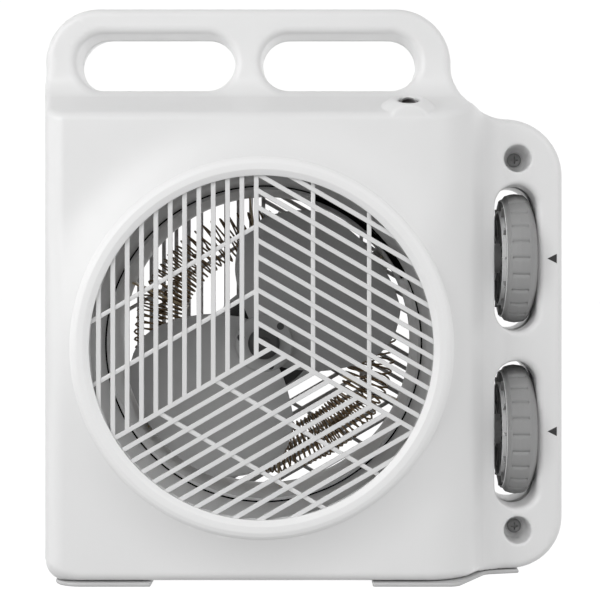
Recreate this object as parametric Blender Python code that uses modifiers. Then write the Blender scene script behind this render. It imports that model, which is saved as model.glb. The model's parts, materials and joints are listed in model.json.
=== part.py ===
"""Portable fan heater: two moulded half shells with a carrying handle, a fan, a heating coil and two thumbwheels.

Metres, +Z up. The front faces -Y, the body stands on Z = 0, and the two shells meet in the plane Y = 0.
"""

import math

import bmesh
import bpy
from mathutils import Matrix, Vector

OBJECT_NAME = "fan_heater"
GAP = 0.0003  # between pieces that touch
WALL = 0.0024  # moulded shells
MERGE = 0.00001
ROUND_STEPS = 48
SMALL_STEPS = 16

# Outline of the shells where they meet, seen from the front
LEFT, RIGHT = -0.1135, 0.1135
BOTTOM, TOP = 0.0020, 0.248
FLANGE_TOP = 0.1996
HANDLE_RIGHT = 0.0646
FLANGE_HALF = 0.0195  # the flange and the handle are this deep on each side
FACE_Y = 0.047  # front face of the bulge, and its back face
LIP_Y = 0.054  # the raised ring around each grille

# Sections of the bulge: depth from the parting plane, left, right, bottom, top, radius of the top right corner
BULGE_SECTIONS = (
    (0.0110, -0.1131, 0.0806, 0.0024, 0.2108, 0.028),
    (0.0210, -0.1130, 0.0800, 0.0025, 0.2103, 0.028),
    (0.0245, -0.1126, 0.0772, 0.0026, 0.2092, 0.023),
    (0.0330, -0.1108, 0.0735, 0.0028, 0.2055, 0.016),
    (0.0420, -0.1085, 0.0705, 0.0033, 0.2016, 0.011),
    (0.0455, -0.1068, 0.0685, 0.0043, 0.2000, 0.009),
    (FACE_Y, -0.1040, 0.0655, 0.0062, 0.1984, 0.007),
)

# Air path
AXIS_X, AXIS_Z = -0.0177, 0.1008
DUCT_R = 0.0746
LIP_R = 0.0815
GRILLE_R = 0.0743
GRILLE_RIM = 0.0024
GRILLE_T = 0.0025
GRILLE_FRONT_Y = 0.0513
BAR_PITCH = 0.0060
BAR_WIDTH = 0.0020
BAR_OFFSET = 0.00214  # from a sector's edge to the middle of its first bar
BAR_COUNT = 12
CROSSBARS = (0.0216, 0.0451)  # from a sector's edge
CROSSBAR_WIDTH = 0.0018
SECTORS = 3

# Handle openings, centre and half length along X
HANDLE_Z = 0.22445
HANDLE_HALF_Z = 0.01275
HANDLE_OPENINGS = ((-0.0651, 0.0351), (0.01575, 0.03485))

# Thumbwheels and their slots
WHEEL_X = 0.0932
WHEEL_ZS = {"thermostat": 0.1385, "selector": 0.0617}
SLOT_ZS = (0.1385, 0.0610)
SLOT_HALF_X, SLOT_HALF_Z = 0.00965, 0.032
SLOT_WALL = 0.0018
WHEEL_R = 0.0289
WHEEL_RIDGES = 24
RIDGE_DEPTH = 0.0005
DRUM_R = 0.0215
WHEEL_LEFT, TREAD_LEFT, WHEEL_RIGHT = 0.0842, 0.0882, 0.1020
SPINDLE_R = 0.0030
SPINDLE_HOLE_R = 0.0040
CONTROL_SIZE = (0.024, 0.028, 0.030)
CONTROL_RIGHT = 0.0795

# Screws: through the flange from the front, and into the bulge from the back
SCREW_R, SCREW_HEAD_R, SCREW_HEAD_T = 0.0015, 0.0031, 0.0022
SCREW_HOLE_R = 0.0019
WELL_R, WELL_DEPTH = 0.0060, 0.0140
BOSS_R = 0.0082
POST_R = 0.0045
FLANGE_SCREWS = ((0.0937, 0.1822), (0.0937, 0.0191))
BODY_SCREWS = ((-0.0920, 0.0200), (-0.0920, 0.1850), (0.0540, 0.0200), (0.0540, 0.1850))

# Pilot lamp on the sloping shoulder
LAMP_X, LAMP_Y, LAMP_Z = 0.0445, -0.0384, 0.20295
LAMP_TILT = math.radians(24.0)
LAMP_BOSS_R, LAMP_BOSS_TOP_R, LAMP_BOSS_H = 0.0090, 0.0060, 0.0030
LENS_R = 0.0043

# Fan and motor, measured along Y
HUB_R, HUB_BORE_R, SHAFT_R = 0.0129, 0.0023, 0.0020
BLADE_T = 0.0014
BLADE_Y, BLADE_RISE, BLADE_STRIPS = -0.0105, 0.0045, 10
BLADE_STATIONS = (
    # radius, leading edge and trailing edge in degrees
    (0.0118, 122.0, 302.0), (0.0200, 144.0, 298.0), (0.0345, 160.0, 292.0),
    (0.0470, 170.5, 283.0), (0.0545, 177.0, 273.0), (0.0600, 186.0, 259.0), (0.0628, 194.0, 249.0),
)
MOTOR_R, MOTOR_WALL = 0.0218, 0.0014
MOTOR_FRONT, MOTOR_BACK = 0.0013, 0.0317
CAP_T = 0.0027
BEARING_R, BEARING_T = 0.0050, 0.0043

# Heater
HEATER_R = 0.0660
HEATER_WALL = 0.0015
COIL_Y = 0.0060
COIL_TUBE_R = 0.0046
COIL_RADII = {"heating_coil_inner": 0.0433, "heating_coil_outer": 0.0553}
VANE_T = 0.0008
VANE_COUNT = 6
VANE_FIRST = math.radians(36.0)
VANE_INNER_R = 0.0385
ARM_ANGLE = math.radians(35.0)

# Cord gland at the back
GLAND_X, GLAND_Z, GLAND_R = 0.0300, 0.0200, 0.0050

FOOT_T = 0.0017
FOOT_HALF_Y = 0.0465
LEFT_FOOT = (-0.1060, -0.0640)
RIGHT_FOOT = ((0.0290, 1.0), (0.0660, 1.0), (0.0800, 0.42), (0.0945, 0.36))

COLORS = {
    "shell_white": ((0.80, 0.81, 0.82), 0.45, 0.0),
    "grille_white": ((0.72, 0.73, 0.74), 0.45, 0.0),
    "cone_gray": ((0.24, 0.25, 0.26), 0.55, 0.0),
    "fan_gray": ((0.16, 0.165, 0.17), 0.45, 0.0),
    "hub_black": ((0.03, 0.03, 0.033), 0.5, 0.0),
    "wheel_gray": ((0.33, 0.335, 0.34), 0.5, 0.0),
    "control_black": ((0.02, 0.02, 0.02), 0.55, 0.0),
    "motor_black": ((0.02, 0.02, 0.022), 0.5, 0.0),
    "steel": ((0.45, 0.45, 0.46), 0.35, 1.0),
    "copper": ((0.45, 0.18, 0.08), 0.4, 1.0),
    "bronze": ((0.42, 0.28, 0.12), 0.4, 1.0),
    "zinc_sheet": ((0.50, 0.51, 0.52), 0.35, 1.0),
    "mica": ((0.50, 0.46, 0.38), 0.4, 0.0),
    "nichrome": ((0.10, 0.065, 0.04), 0.5, 1.0),
    "lens": ((0.05, 0.01, 0.01), 0.15, 0.0),
    "foot_gray": ((0.58, 0.58, 0.58), 0.7, 0.0),
}

parts = bpy.data.collections.new(OBJECT_NAME)
cutters = bpy.data.collections.new(OBJECT_NAME + "_cutters")
materials = {}


def start_scene():
    for old in list(bpy.data.objects):
        bpy.data.objects.remove(old)
    for collection in (parts, cutters):
        bpy.context.scene.collection.children.link(collection)
    for name, (color, roughness, metallic) in COLORS.items():
        material = bpy.data.materials.new(name)
        material.use_nodes = True
        shader = material.node_tree.nodes["Principled BSDF"]
        shader.inputs["Base Color"].default_value = (*color, 1.0)
        shader.inputs["Roughness"].default_value = roughness
        shader.inputs["Metallic"].default_value = metallic
        materials[name] = material


def finish_part(obj, name, material):
    """Names an object, gives it its material and moves it into the parts collection."""
    for collection in list(obj.users_collection):
        collection.objects.unlink(obj)
    parts.objects.link(obj)
    obj.name = obj.data.name = name
    obj.data.materials.clear()
    obj.data.materials.append(materials[material])
    if obj.type == "MESH":
        obj.data.shade_smooth()
        obj.data.set_sharp_from_angle(angle=math.radians(30))
    return obj


def make_cutter(obj, name="cutter"):
    """Moves a helper shape into the cutters collection, where it isn't rendered."""
    for collection in list(obj.users_collection):
        collection.objects.unlink(obj)
    cutters.objects.link(obj)
    obj.name = name
    obj.hide_render = True
    obj.display_type = "WIRE"
    return obj


def combine(target, tool, operation):
    """Adds a Boolean: UNION or DIFFERENCE. The Manifold solver keeps the shells closed where Exact leaves slits."""
    modifier = target.modifiers.new(operation.lower(), "BOOLEAN")
    modifier.object = make_cutter(tool, f"{target.name}_{operation.lower()}")
    modifier.operation = operation
    modifier.solver = "MANIFOLD"
    return target


def mesh_object(name, vertices, faces):
    mesh = bpy.data.meshes.new(name)
    mesh.from_pydata(vertices, [], faces)
    obj = bpy.data.objects.new(name, mesh)
    bpy.context.scene.collection.objects.link(obj)
    return obj


def box(center, size, turn=None):
    """A box as a mesh object, turned about its own middle by a rotation matrix."""
    mesh = bpy.data.meshes.new("box")
    form = bmesh.new()
    bmesh.ops.create_cube(form, size=1.0)
    bmesh.ops.scale(form, vec=size, verts=form.verts)
    if turn:
        bmesh.ops.transform(form, matrix=turn, verts=form.verts)
    bmesh.ops.translate(form, vec=center, verts=form.verts)
    form.to_mesh(mesh)
    form.free()
    obj = bpy.data.objects.new("box", mesh)
    bpy.context.scene.collection.objects.link(obj)
    return obj


def loft(name, rings):
    """A closed solid through rings of equally many points, flat at both ends."""
    form = bmesh.new()
    loops = [[form.verts.new(point) for point in ring] for ring in rings]
    count = len(loops[0])
    for near, far in zip(loops, loops[1:]):
        for i in range(count):
            j = (i + 1) % count
            form.faces.new((near[i], near[j], far[j], far[i]))
    form.faces.new(loops[0])
    form.faces.new(loops[-1])
    bmesh.ops.recalc_face_normals(form, faces=form.faces)
    mesh = bpy.data.meshes.new(name)
    form.to_mesh(mesh)
    form.free()
    obj = bpy.data.objects.new(name, mesh)
    bpy.context.scene.collection.objects.link(obj)
    return obj


def turned(name, profile, center, axis="Y", steps=ROUND_STEPS):
    """A turned solid. The profile holds (radius, distance along the axis), down the outer side first."""
    vertices = [(radius, 0.0, along) for radius, along in profile]
    mesh = bpy.data.meshes.new(name)
    count = len(vertices)
    closed = all(radius > MERGE for radius, _ in profile)
    edges = [(i, i + 1) for i in range(count - 1)] + ([(count - 1, 0)] if closed else [])
    mesh.from_pydata(vertices, edges, [])
    obj = bpy.data.objects.new(name, mesh)
    bpy.context.scene.collection.objects.link(obj)
    screw = obj.modifiers.new("turn", "SCREW")
    screw.steps = screw.render_steps = steps
    screw.use_merge_vertices = True
    screw.merge_threshold = MERGE
    obj.location = center
    if axis == "Y":
        obj.rotation_euler = (math.radians(-90), 0.0, 0.0)
    elif axis == "X":
        obj.rotation_euler = (0.0, math.radians(90), 0.0)
    return obj


def disc(name, radius, low, high, center, axis="Y", steps=ROUND_STEPS):
    """A solid cylinder from low to high along its axis."""
    return turned(name, ((0.0, high), (radius, high), (radius, low), (0.0, low)), center, axis, steps)


def tube(name, outer, inner, low, high, center, axis="Y", steps=ROUND_STEPS):
    """A straight ring with a round hole."""
    return turned(name, ((outer, high), (outer, low), (inner, low), (inner, high)), center, axis, steps)


def air(y=0.0):
    """A point on the fan's axis."""
    return Vector((AXIS_X, y, AXIS_Z))


def fillet(corners, steps=8):
    """An outline through (x, z, radius) corners, with each corner rounded by an arc."""
    points = []
    count = len(corners)
    for i, (x, z, radius) in enumerate(corners):
        here = Vector((x, z))
        before = Vector(corners[i - 1][:2]) - here
        after = Vector(corners[(i + 1) % count][:2]) - here
        half = before.angle(after) / 2
        middle = here + (before.normalized() + after.normalized()).normalized() * (radius / math.sin(half))
        start = here + before.normalized() * (radius / math.tan(half)) - middle
        end = here + after.normalized() * (radius / math.tan(half)) - middle
        sweep = -start.angle_signed(end)
        for step in range(steps + 1):
            points.append(tuple(middle + Matrix.Rotation(sweep * step / steps, 2) @ start))
    return points


def arc(center, radius, start, end, steps):
    """Points of an arc, angles in radians, counter-clockwise from +X."""
    angles = [start + (end - start) * step / steps for step in range(steps + 1)]
    return [(center[0] + radius * math.cos(a), center[1] + radius * math.sin(a)) for a in angles]


def stadium(center_x, center_z, half_x, half_z, steps=8):
    """A slot outline with half-round ends on its longer axis."""
    radius = min(half_x, half_z)
    reach_x, reach_z = half_x - radius, half_z - radius
    turn = 0.0 if reach_z > reach_x else -math.pi / 2
    first = arc((center_x + reach_x, center_z + reach_z), radius, turn, turn + math.pi, steps)
    second = arc((center_x - reach_x, center_z - reach_z), radius, turn + math.pi, turn + 2 * math.pi, steps)
    return first + second


def sheet(name, outlines, thickness):
    """A flat piece in its own XY plane: the first outline is its edge, and the others are holes in it."""
    curve = bpy.data.curves.new(name, "CURVE")
    curve.dimensions = "2D"
    curve.fill_mode = "BOTH"
    curve.extrude = thickness / 2
    for outline in outlines:
        spline = curve.splines.new("POLY")
        spline.points.add(len(outline) - 1)
        for point, (x, y) in zip(spline.points, outline):
            point.co = (x, y, 0.0, 1.0)
        spline.use_cyclic_u = True
    obj = bpy.data.objects.new(name, curve)
    bpy.context.scene.collection.objects.link(obj)
    return as_mesh(obj)


def plate(name, outlines, y_low, y_high):
    """A sheet that stands across Y, with its outlines given in X and Z."""
    obj = sheet(name, outlines, y_high - y_low)
    obj.rotation_euler = (math.radians(90), 0.0, 0.0)
    obj.location.y = (y_low + y_high) / 2
    return obj


def as_mesh(obj):
    """Swaps a curve object for a welded mesh object in the same place."""
    bpy.context.view_layer.update()
    mesh = bpy.data.meshes.new_from_object(obj.evaluated_get(bpy.context.evaluated_depsgraph_get()))
    form = bmesh.new()
    form.from_mesh(mesh)
    bmesh.ops.remove_doubles(form, verts=form.verts, dist=MERGE)
    bmesh.ops.recalc_face_normals(form, faces=form.faces)
    form.to_mesh(mesh)
    form.free()
    new = bpy.data.objects.new(obj.name, mesh)
    new.matrix_world = obj.matrix_world
    bpy.context.scene.collection.objects.link(new)
    bpy.data.objects.remove(obj)
    return new


# ---- Shells ----

def shell_outline(inset=0.0):
    """The edge of the flange and the handle, as seen from the front."""
    return fillet((
        (LEFT + inset, BOTTOM + inset, 0.008 - inset),
        (RIGHT - inset, BOTTOM + inset, 0.023 - inset),
        (RIGHT - inset, FLANGE_TOP - inset, 0.0250 - inset),
        (HANDLE_RIGHT - inset, FLANGE_TOP - inset, 0.0235 + inset),
        (HANDLE_RIGHT - inset, TOP - inset, 0.0244 - inset),
        (LEFT + inset, TOP - inset, 0.0233 - inset),
    ), 6)


def bulge_ring(y, left, right, bottom, top, corner, inset):
    """One section of the bulge, as points in space. The corner is the radius where it meets the handle's foot."""
    corners = (
        (left + inset, bottom + inset, 0.009 - inset / 2),
        (right - inset, bottom + inset, 0.007 - inset / 2),
        (right - inset, top - inset, corner - inset / 2),
        (left + inset, top - inset, 0.010 - inset / 2),
    )
    return [(x, y, z) for x, z in fillet(corners, 4)]


def bulge(name, side, inset):
    """The main bulge: a sloping shoulder on top and an S-shaped step down to the flange on the right."""
    rings = []
    for y, left, right, bottom, top, corner in BULGE_SECTIONS:
        depth = min(y, FACE_Y - inset - (FACE_Y - y) / 2)
        rings.append(bulge_ring(side * depth, left, right, bottom, top, corner, inset))
    return loft(name, rings)


def between(side, low, high):
    """Two distances from the parting plane as an ordered pair of Y values on one side of it."""
    return tuple(sorted((side * low, side * high)))


def column(side, center, radius, low, high, steps=SMALL_STEPS):
    """A round post or hole along Y at a screw's place."""
    return disc("column", radius, *between(side, low, high), (center[0], 0.0, center[1]), "Y", steps)


def half_shell(name, side):
    """One moulded half: side is -1 for the front and +1 for the back."""
    shell = plate(name, [shell_outline()], *between(side, GAP / 2, FLANGE_HALF))
    combine(shell, bulge("bulge", side, 0.0), "UNION")
    lip = (
        (0.0, LIP_Y), (0.0775, LIP_Y), (0.0794, 0.0520), (LIP_R, 0.0480), (LIP_R, 0.0462), (0.0, 0.0462),
    )
    ring = turned("lip", lip, air(), "Y")
    if side < 0:
        ring.rotation_euler = (math.radians(90), 0.0, 0.0)
    combine(shell, ring, "UNION")
    if side < 0:
        combine(shell, lamp_boss(), "UNION")
    combine(shell, cavity(side), "DIFFERENCE")
    combine(shell, disc("duct", DUCT_R, *between(side, 0.03, 0.06), air(), "Y"), "DIFFERENCE")
    for center_x, half_x in HANDLE_OPENINGS:
        outline = stadium(center_x, HANDLE_Z, half_x, HANDLE_HALF_Z)
        combine(shell, plate("handle_cut", [outline], *between(side, -0.01, 0.03)), "DIFFERENCE")
    for z in SLOT_ZS:
        outline = stadium(WHEEL_X, z, SLOT_HALF_X, SLOT_HALF_Z)
        combine(shell, plate("slot_cut", [outline], *between(side, -0.01, 0.03)), "DIFFERENCE")
    for z in WHEEL_ZS.values():
        hole = disc("spindle_cut", SPINDLE_HOLE_R, 0.0790, 0.0850, (0.0, 0.0, z), "X", SMALL_STEPS)
        combine(shell, hole, "DIFFERENCE")
    return shell


def cavity(side):
    """The hollow inside one half, with the walls, wells and posts that stand in it left out."""
    hollow = plate("cavity", [shell_outline(WALL)], *between(side, -0.01, FLANGE_HALF - WALL))
    combine(hollow, bulge("cavity_bulge", side, WALL), "UNION")
    for center_x, half_x in HANDLE_OPENINGS:
        wall = stadium(center_x, HANDLE_Z, half_x + WALL, HANDLE_HALF_Z + WALL)
        combine(hollow, plate("handle_wall", [wall], *between(side, -0.02, 0.03)), "DIFFERENCE")
    for z in SLOT_ZS:
        wall = stadium(WHEEL_X, z, SLOT_HALF_X + SLOT_WALL, SLOT_HALF_Z + SLOT_WALL)
        combine(hollow, plate("slot_wall", [wall], *between(side, -0.02, 0.03)), "DIFFERENCE")
    boss = BOSS_R if side < 0 else POST_R
    for center in FLANGE_SCREWS:
        combine(hollow, column(side, center, boss, -0.02, 0.03), "DIFFERENCE")
    boss = POST_R if side < 0 else BOSS_R
    for center in BODY_SCREWS:
        combine(hollow, column(side, center, boss, -0.02, 0.06), "DIFFERENCE")
    return hollow


def lamp_frame(along):
    """A point on the pilot lamp's own axis, which stands square to the shoulder."""
    normal = Vector((0.0, -math.sin(LAMP_TILT), math.cos(LAMP_TILT)))
    return Vector((LAMP_X, LAMP_Y, LAMP_Z)) + normal * along


def on_shoulder(obj):
    """Stands a turned shape square to the shoulder."""
    obj.rotation_euler = (LAMP_TILT, 0.0, 0.0)
    return obj


def lamp_boss():
    profile = (
        (0.0, LAMP_BOSS_H), (LAMP_BOSS_TOP_R, LAMP_BOSS_H), (LAMP_BOSS_TOP_R + 0.0018, LAMP_BOSS_H - 0.0010),
        (LAMP_BOSS_R, 0.0), (LAMP_BOSS_R, -0.0020), (0.0, -0.0020),
    )
    return on_shoulder(turned("lamp_boss", profile, lamp_frame(0.0), "Z", SMALL_STEPS))


def make_shells():
    front = half_shell("front_shell", -1)
    rear = half_shell("rear_shell", 1)
    lamp_hole = turned(
        "lamp_cut",
        ((0.0, 0.006), (LENS_R + GAP, 0.006), (LENS_R + GAP, -0.006), (0.0, -0.006)),
        lamp_frame(0.0), "Z", SMALL_STEPS,
    )
    combine(front, on_shoulder(lamp_hole), "DIFFERENCE")
    for center in FLANGE_SCREWS:
        floor = FLANGE_HALF - WELL_DEPTH
        combine(front, column(-1, center, WELL_R, floor, 0.03), "DIFFERENCE")
        combine(front, column(-1, center, SCREW_HOLE_R, -0.01, floor + 0.001, 16), "DIFFERENCE")
        combine(rear, column(1, center, SCREW_HOLE_R, -0.01, 0.0130, 16), "DIFFERENCE")
    for center in BODY_SCREWS:
        combine(rear, column(1, center, WELL_R, 0.0100, 0.06), "DIFFERENCE")
        combine(rear, column(1, center, SCREW_HOLE_R, -0.01, 0.0110, 16), "DIFFERENCE")
        combine(front, column(-1, center, SCREW_HOLE_R, -0.01, 0.0130, 16), "DIFFERENCE")
    gland_hole = disc("gland_cut", GLAND_R + GAP, 0.03, 0.06, (GLAND_X, 0.0, GLAND_Z), "Y", SMALL_STEPS)
    combine(rear, gland_hole, "DIFFERENCE")
    finish_part(front, "front_shell", "shell_white")
    finish_part(rear, "rear_shell", "shell_white")


# ---- Grilles ----

def sector_point(u, v, turn):
    """From a sector's own directions, across and along its bars, to X and Z."""
    angle = turn * 2 * math.pi / SECTORS
    x, z = -u, v
    return (
        AXIS_X + x * math.cos(angle) - z * math.sin(angle),
        AXIS_Z + x * math.sin(angle) + z * math.cos(angle),
    )


def bar_gaps(turn):
    """The holes of one sector: the gaps between its bars, parted by two crossbars."""
    lean = 2 * math.pi / SECTORS - math.pi / 2
    rim = GRILLE_R - GRILLE_RIM
    first = -(BAR_OFFSET - BAR_WIDTH / 2)
    stops = [first, *CROSSBARS]
    holes = []
    for bar in range(BAR_COUNT):
        near = BAR_OFFSET + BAR_PITCH * bar + BAR_WIDTH / 2
        far = min(near + BAR_PITCH - BAR_WIDTH, rim - 0.0006)
        if far - near < 0.001:
            continue
        for index, stop in enumerate(stops):
            low = stop + (CROSSBAR_WIDTH / 2 if index else 0.0)
            high = stops[index + 1] - CROSSBAR_WIDTH / 2 if index + 1 < len(stops) else None
            hole = gap_outline(near, far, low, high, rim, lean)
            if hole:
                holes.append([sector_point(u, v, turn) for u, v in hole])
    return holes


def gap_outline(near, far, low, high, rim, lean):
    """One gap between two bars, in the sector's own directions, cut off by the rim where it reaches it."""
    def along(u, distance):
        return (distance - u * math.sin(lean)) / math.cos(lean)

    def edge(u):
        return math.sqrt(rim ** 2 - u ** 2)

    across = (near, far)
    bottoms = [(u, max(along(u, low), -edge(u))) for u in across]
    tops = [(u, edge(u) if high is None else min(along(u, high), edge(u))) for u in across]
    if min(top[1] - bottom[1] for top, bottom in zip(tops, bottoms)) < 0.0008:
        return None
    return bottoms + tops[::-1]


def make_grille(name, y_low, y_high):
    rim = arc((AXIS_X, AXIS_Z), GRILLE_R, 0.0, 2 * math.pi * (1 - 1 / ROUND_STEPS), ROUND_STEPS - 1)
    holes = [hole for turn in range(SECTORS) for hole in bar_gaps(turn)]
    finish_part(plate(name, [rim] + holes, y_low, y_high), name, "grille_white")


def make_grilles():
    make_grille("front_grille", -GRILLE_FRONT_Y, -GRILLE_FRONT_Y + GRILLE_T)
    make_grille("rear_grille", GRILLE_FRONT_Y - GRILLE_T, GRILLE_FRONT_Y)


# ---- Air path ----

def make_air_path():
    cone = (
        (0.0707, -0.0205), (0.0716, -0.0423), (0.0770, -0.0423), (0.0770, -0.0443),
        (0.0717, -0.0443), (0.0717, -0.0485), (0.0704, -0.0485), (0.0693, -0.0205),
    )
    finish_part(turned("outlet_cone", cone, air()), "outlet_cone", "cone_gray")
    shroud = (
        (0.0740, -0.0010), (0.0740, -0.0028), (0.0670, -0.0028), (0.0688, -0.0175),
        (0.0678, -0.0175), (0.0653, -0.0010),
    )
    ring = turned("fan_shroud", shroud, air())
    start, end = math.radians(25), math.radians(71)
    window = arc((AXIS_X, AXIS_Z), 0.080, start, end, 8) + arc((AXIS_X, AXIS_Z), 0.050, end, start, 8)
    combine(ring, plate("window", [window], -0.0190, -0.0045), "DIFFERENCE")
    finish_part(ring, "fan_shroud", "cone_gray")
    heater = (
        (HEATER_R + HEATER_WALL, 0.0150), (HEATER_R + HEATER_WALL, 0.0010), (0.0740, 0.0010),
        (0.0740, -0.0007), (HEATER_R, -0.0007), (HEATER_R, 0.0150),
    )
    finish_part(turned("heater_ring", heater, air()), "heater_ring", "zinc_sheet")


# ---- Fan ----

def blade(turn):
    """One wide fan blade as a bent sheet, thickened by Solidify."""
    vertices = []
    for radius, lead, trail in BLADE_STATIONS:
        for strip in range(BLADE_STRIPS + 1):
            share = strip / BLADE_STRIPS
            angle = math.radians(lead + (trail - lead) * share) + turn
            twist = BLADE_RISE * math.cos(math.pi * share)
            vertices.append((
                AXIS_X + radius * math.cos(angle),
                BLADE_Y + twist * min(1.0, radius / 0.030),
                AXIS_Z + radius * math.sin(angle),
            ))
    row = BLADE_STRIPS + 1
    faces = [
        (i * row + j, i * row + j + 1, (i + 1) * row + j + 1, (i + 1) * row + j)
        for i in range(len(BLADE_STATIONS) - 1) for j in range(BLADE_STRIPS)
    ]
    obj = mesh_object("blade", vertices, faces)
    solid = obj.modifiers.new("thickness", "SOLIDIFY")
    solid.thickness = BLADE_T
    solid.offset = 0.0
    return obj


def make_fan():
    hub = (
        (HUB_R, -0.0075), (HUB_R, -0.0135), (HUB_BORE_R, -0.0135), (HUB_BORE_R, -0.0030),
        (0.0060, -0.0030), (0.0060, -0.0075),
    )
    rotor = turned("fan_rotor", hub, air(), "Y", 32)
    for turn in (0.0, math.pi):
        combine(rotor, blade(turn), "UNION")
    finish_part(rotor, "fan_rotor", "fan_gray")
    cap = ((0.0, -0.0138), (0.0070, -0.0138), (0.0070, -0.0165), (0.0055, -0.0180), (0.0, -0.0180))
    finish_part(turned("fan_cap", cap, air(), "Y", SMALL_STEPS), "fan_cap", "hub_black")
    shaft = disc("motor_shaft", SHAFT_R, -0.0133, 0.0338, air(), "Y", SMALL_STEPS)
    finish_part(shaft, "motor_shaft", "steel")


# ---- Motor ----

def make_motor():
    inner = MOTOR_R - MOTOR_WALL
    seat = BEARING_R + GAP
    front = MOTOR_FRONT + CAP_T
    back = MOTOR_BACK - CAP_T
    rings = {
        "motor_can": (MOTOR_R, inner, front + GAP, back - GAP, "motor_black"),
        "motor_front_cap": (MOTOR_R, seat, MOTOR_FRONT, front, "motor_black"),
        "motor_rear_cap": (MOTOR_R, seat, back, MOTOR_BACK, "motor_black"),
        "front_bearing": (BEARING_R, HUB_BORE_R, front - BEARING_T + 0.0008, front + 0.0008, "bronze"),
        "rear_bearing": (BEARING_R, HUB_BORE_R, back - 0.0008, back + BEARING_T - 0.0008, "bronze"),
        "stator_core": (inner - GAP, 0.0128, 0.0090, 0.0240, "steel"),
        "stator_winding_front": (0.0190, 0.0134, 0.0056, 0.0087, "copper"),
        "stator_winding_rear": (0.0190, 0.0134, 0.0243, 0.0274, "copper"),
        "armature": (0.0123, HUB_BORE_R, 0.0085, 0.0245, "steel"),
    }
    for name, (outer, bore, low, high, material) in rings.items():
        finish_part(tube(name, outer, bore, low, high, air(), "Y", 32), name, material)
    bracket = tube("motor_bracket", 0.0250, MOTOR_R + GAP, 0.0155, 0.0175, air(), "Y", 32)
    for angle in (ARM_ANGLE, ARM_ANGLE + math.pi):
        combine(bracket, box(spoke(angle, 0.0484, 0.0165), (0.0492, 0.0018, 0.0100), spoke_turn(angle)), "UNION")
    finish_part(bracket, "motor_bracket", "zinc_sheet")


def spoke(angle, radius, y):
    """A point out from the fan's axis."""
    return Vector((AXIS_X + radius * math.cos(angle), y, AXIS_Z + radius * math.sin(angle)))


def spoke_turn(angle):
    """Turns +X to point out from the fan's axis at an angle."""
    return Matrix.Rotation(-angle, 4, "Y")


# ---- Heater ----

def make_heater():
    for name, radius in COIL_RADII.items():
        bpy.ops.mesh.primitive_torus_add(
            major_segments=48, minor_segments=8, major_radius=radius, minor_radius=COIL_TUBE_R,
            location=air(COIL_Y), rotation=(math.radians(90), 0.0, 0.0),
        )
        finish_part(bpy.context.object, name, "nichrome")
    low, high = 0.0, COIL_Y * 2 + 0.0005
    inner, outer = VANE_INNER_R, HEATER_R - GAP
    edge = [(inner, low), (outer, low), (outer, high), (inner, high)]
    holes = [
        arc((radius, COIL_Y), COIL_TUBE_R + 0.0004, 0.0, 2 * math.pi * 11 / 12, 11)
        for radius in COIL_RADII.values()
    ]
    for number in range(VANE_COUNT):
        angle = VANE_FIRST + number * 2 * math.pi / VANE_COUNT
        vane = sheet("vane", [edge] + holes, VANE_T)
        vane.matrix_world = Matrix.Translation(air()) @ spoke_turn(angle)
        finish_part(vane, f"mica_vane_{number + 1}", "mica")
    cutout = disc("thermal_cutout", 0.0055, 0.0178, 0.0220, spoke(ARM_ANGLE, 0.048, 0.0), "Y", SMALL_STEPS)
    finish_part(cutout, "thermal_cutout", "control_black")
    fuse = box(spoke(ARM_ANGLE + math.pi, 0.048, 0.0195), (0.012, 0.003, 0.004), spoke_turn(ARM_ANGLE))
    finish_part(fuse, "thermal_fuse", "bronze")


# ---- Controls ----

def wheel(z):
    """A thumbwheel: a ridged tread, crowned on its right side, and a smaller drum on its left."""
    profile = (
        # x, radius, share of the ridge's height
        (WHEEL_LEFT, DRUM_R - 0.0005, 0.0), (WHEEL_LEFT + 0.0005, DRUM_R, 0.0), (TREAD_LEFT, DRUM_R, 0.0),
        (TREAD_LEFT, WHEEL_R - 0.0034, 0.0), (TREAD_LEFT + 0.0022, WHEEL_R - 0.0010, 0.6),
        (TREAD_LEFT + 0.0060, WHEEL_R, 1.0), (TREAD_LEFT + 0.0096, WHEEL_R - 0.0004, 1.0),
        (WHEEL_RIGHT - 0.0022, WHEEL_R - 0.0026, 0.0), (WHEEL_RIGHT, WHEEL_R - 0.0067, 0.0),
    )
    count = WHEEL_RIDGES * 4
    rings = []
    for x, radius, ridge in profile:
        ring = []
        for i in range(count):
            angle = 2 * math.pi * i / count
            reach = radius - RIDGE_DEPTH * ridge * (1 - math.cos(angle * WHEEL_RIDGES)) / 2
            ring.append((x - WHEEL_X, reach * math.cos(angle), reach * math.sin(angle)))
        rings.append(ring)
    obj = loft("wheel", rings)
    obj.location = (WHEEL_X, 0.0, z)
    bore = disc("bore", SPINDLE_R + GAP, 0.0800, 0.0980, (0.0, 0.0, z), "X", SMALL_STEPS)
    return combine(obj, bore, "DIFFERENCE")


def make_controls():
    for control, z in WHEEL_ZS.items():
        finish_part(wheel(z), f"{control}_wheel", "wheel_gray")
        spindle = disc("spindle", SPINDLE_R, 0.0710, 0.0977, (0.0, 0.0, z), "X", SMALL_STEPS)
        finish_part(spindle, f"{control}_spindle", "steel")
        body = box((CONTROL_RIGHT - CONTROL_SIZE[0] / 2, 0.0, z), CONTROL_SIZE)
        bore = disc("bore", SPINDLE_R + GAP, 0.0705, 0.0900, (0.0, 0.0, z), "X", SMALL_STEPS)
        combine(body, bore, "DIFFERENCE")
        finish_part(body, f"{control}_body", "control_black")


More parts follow.
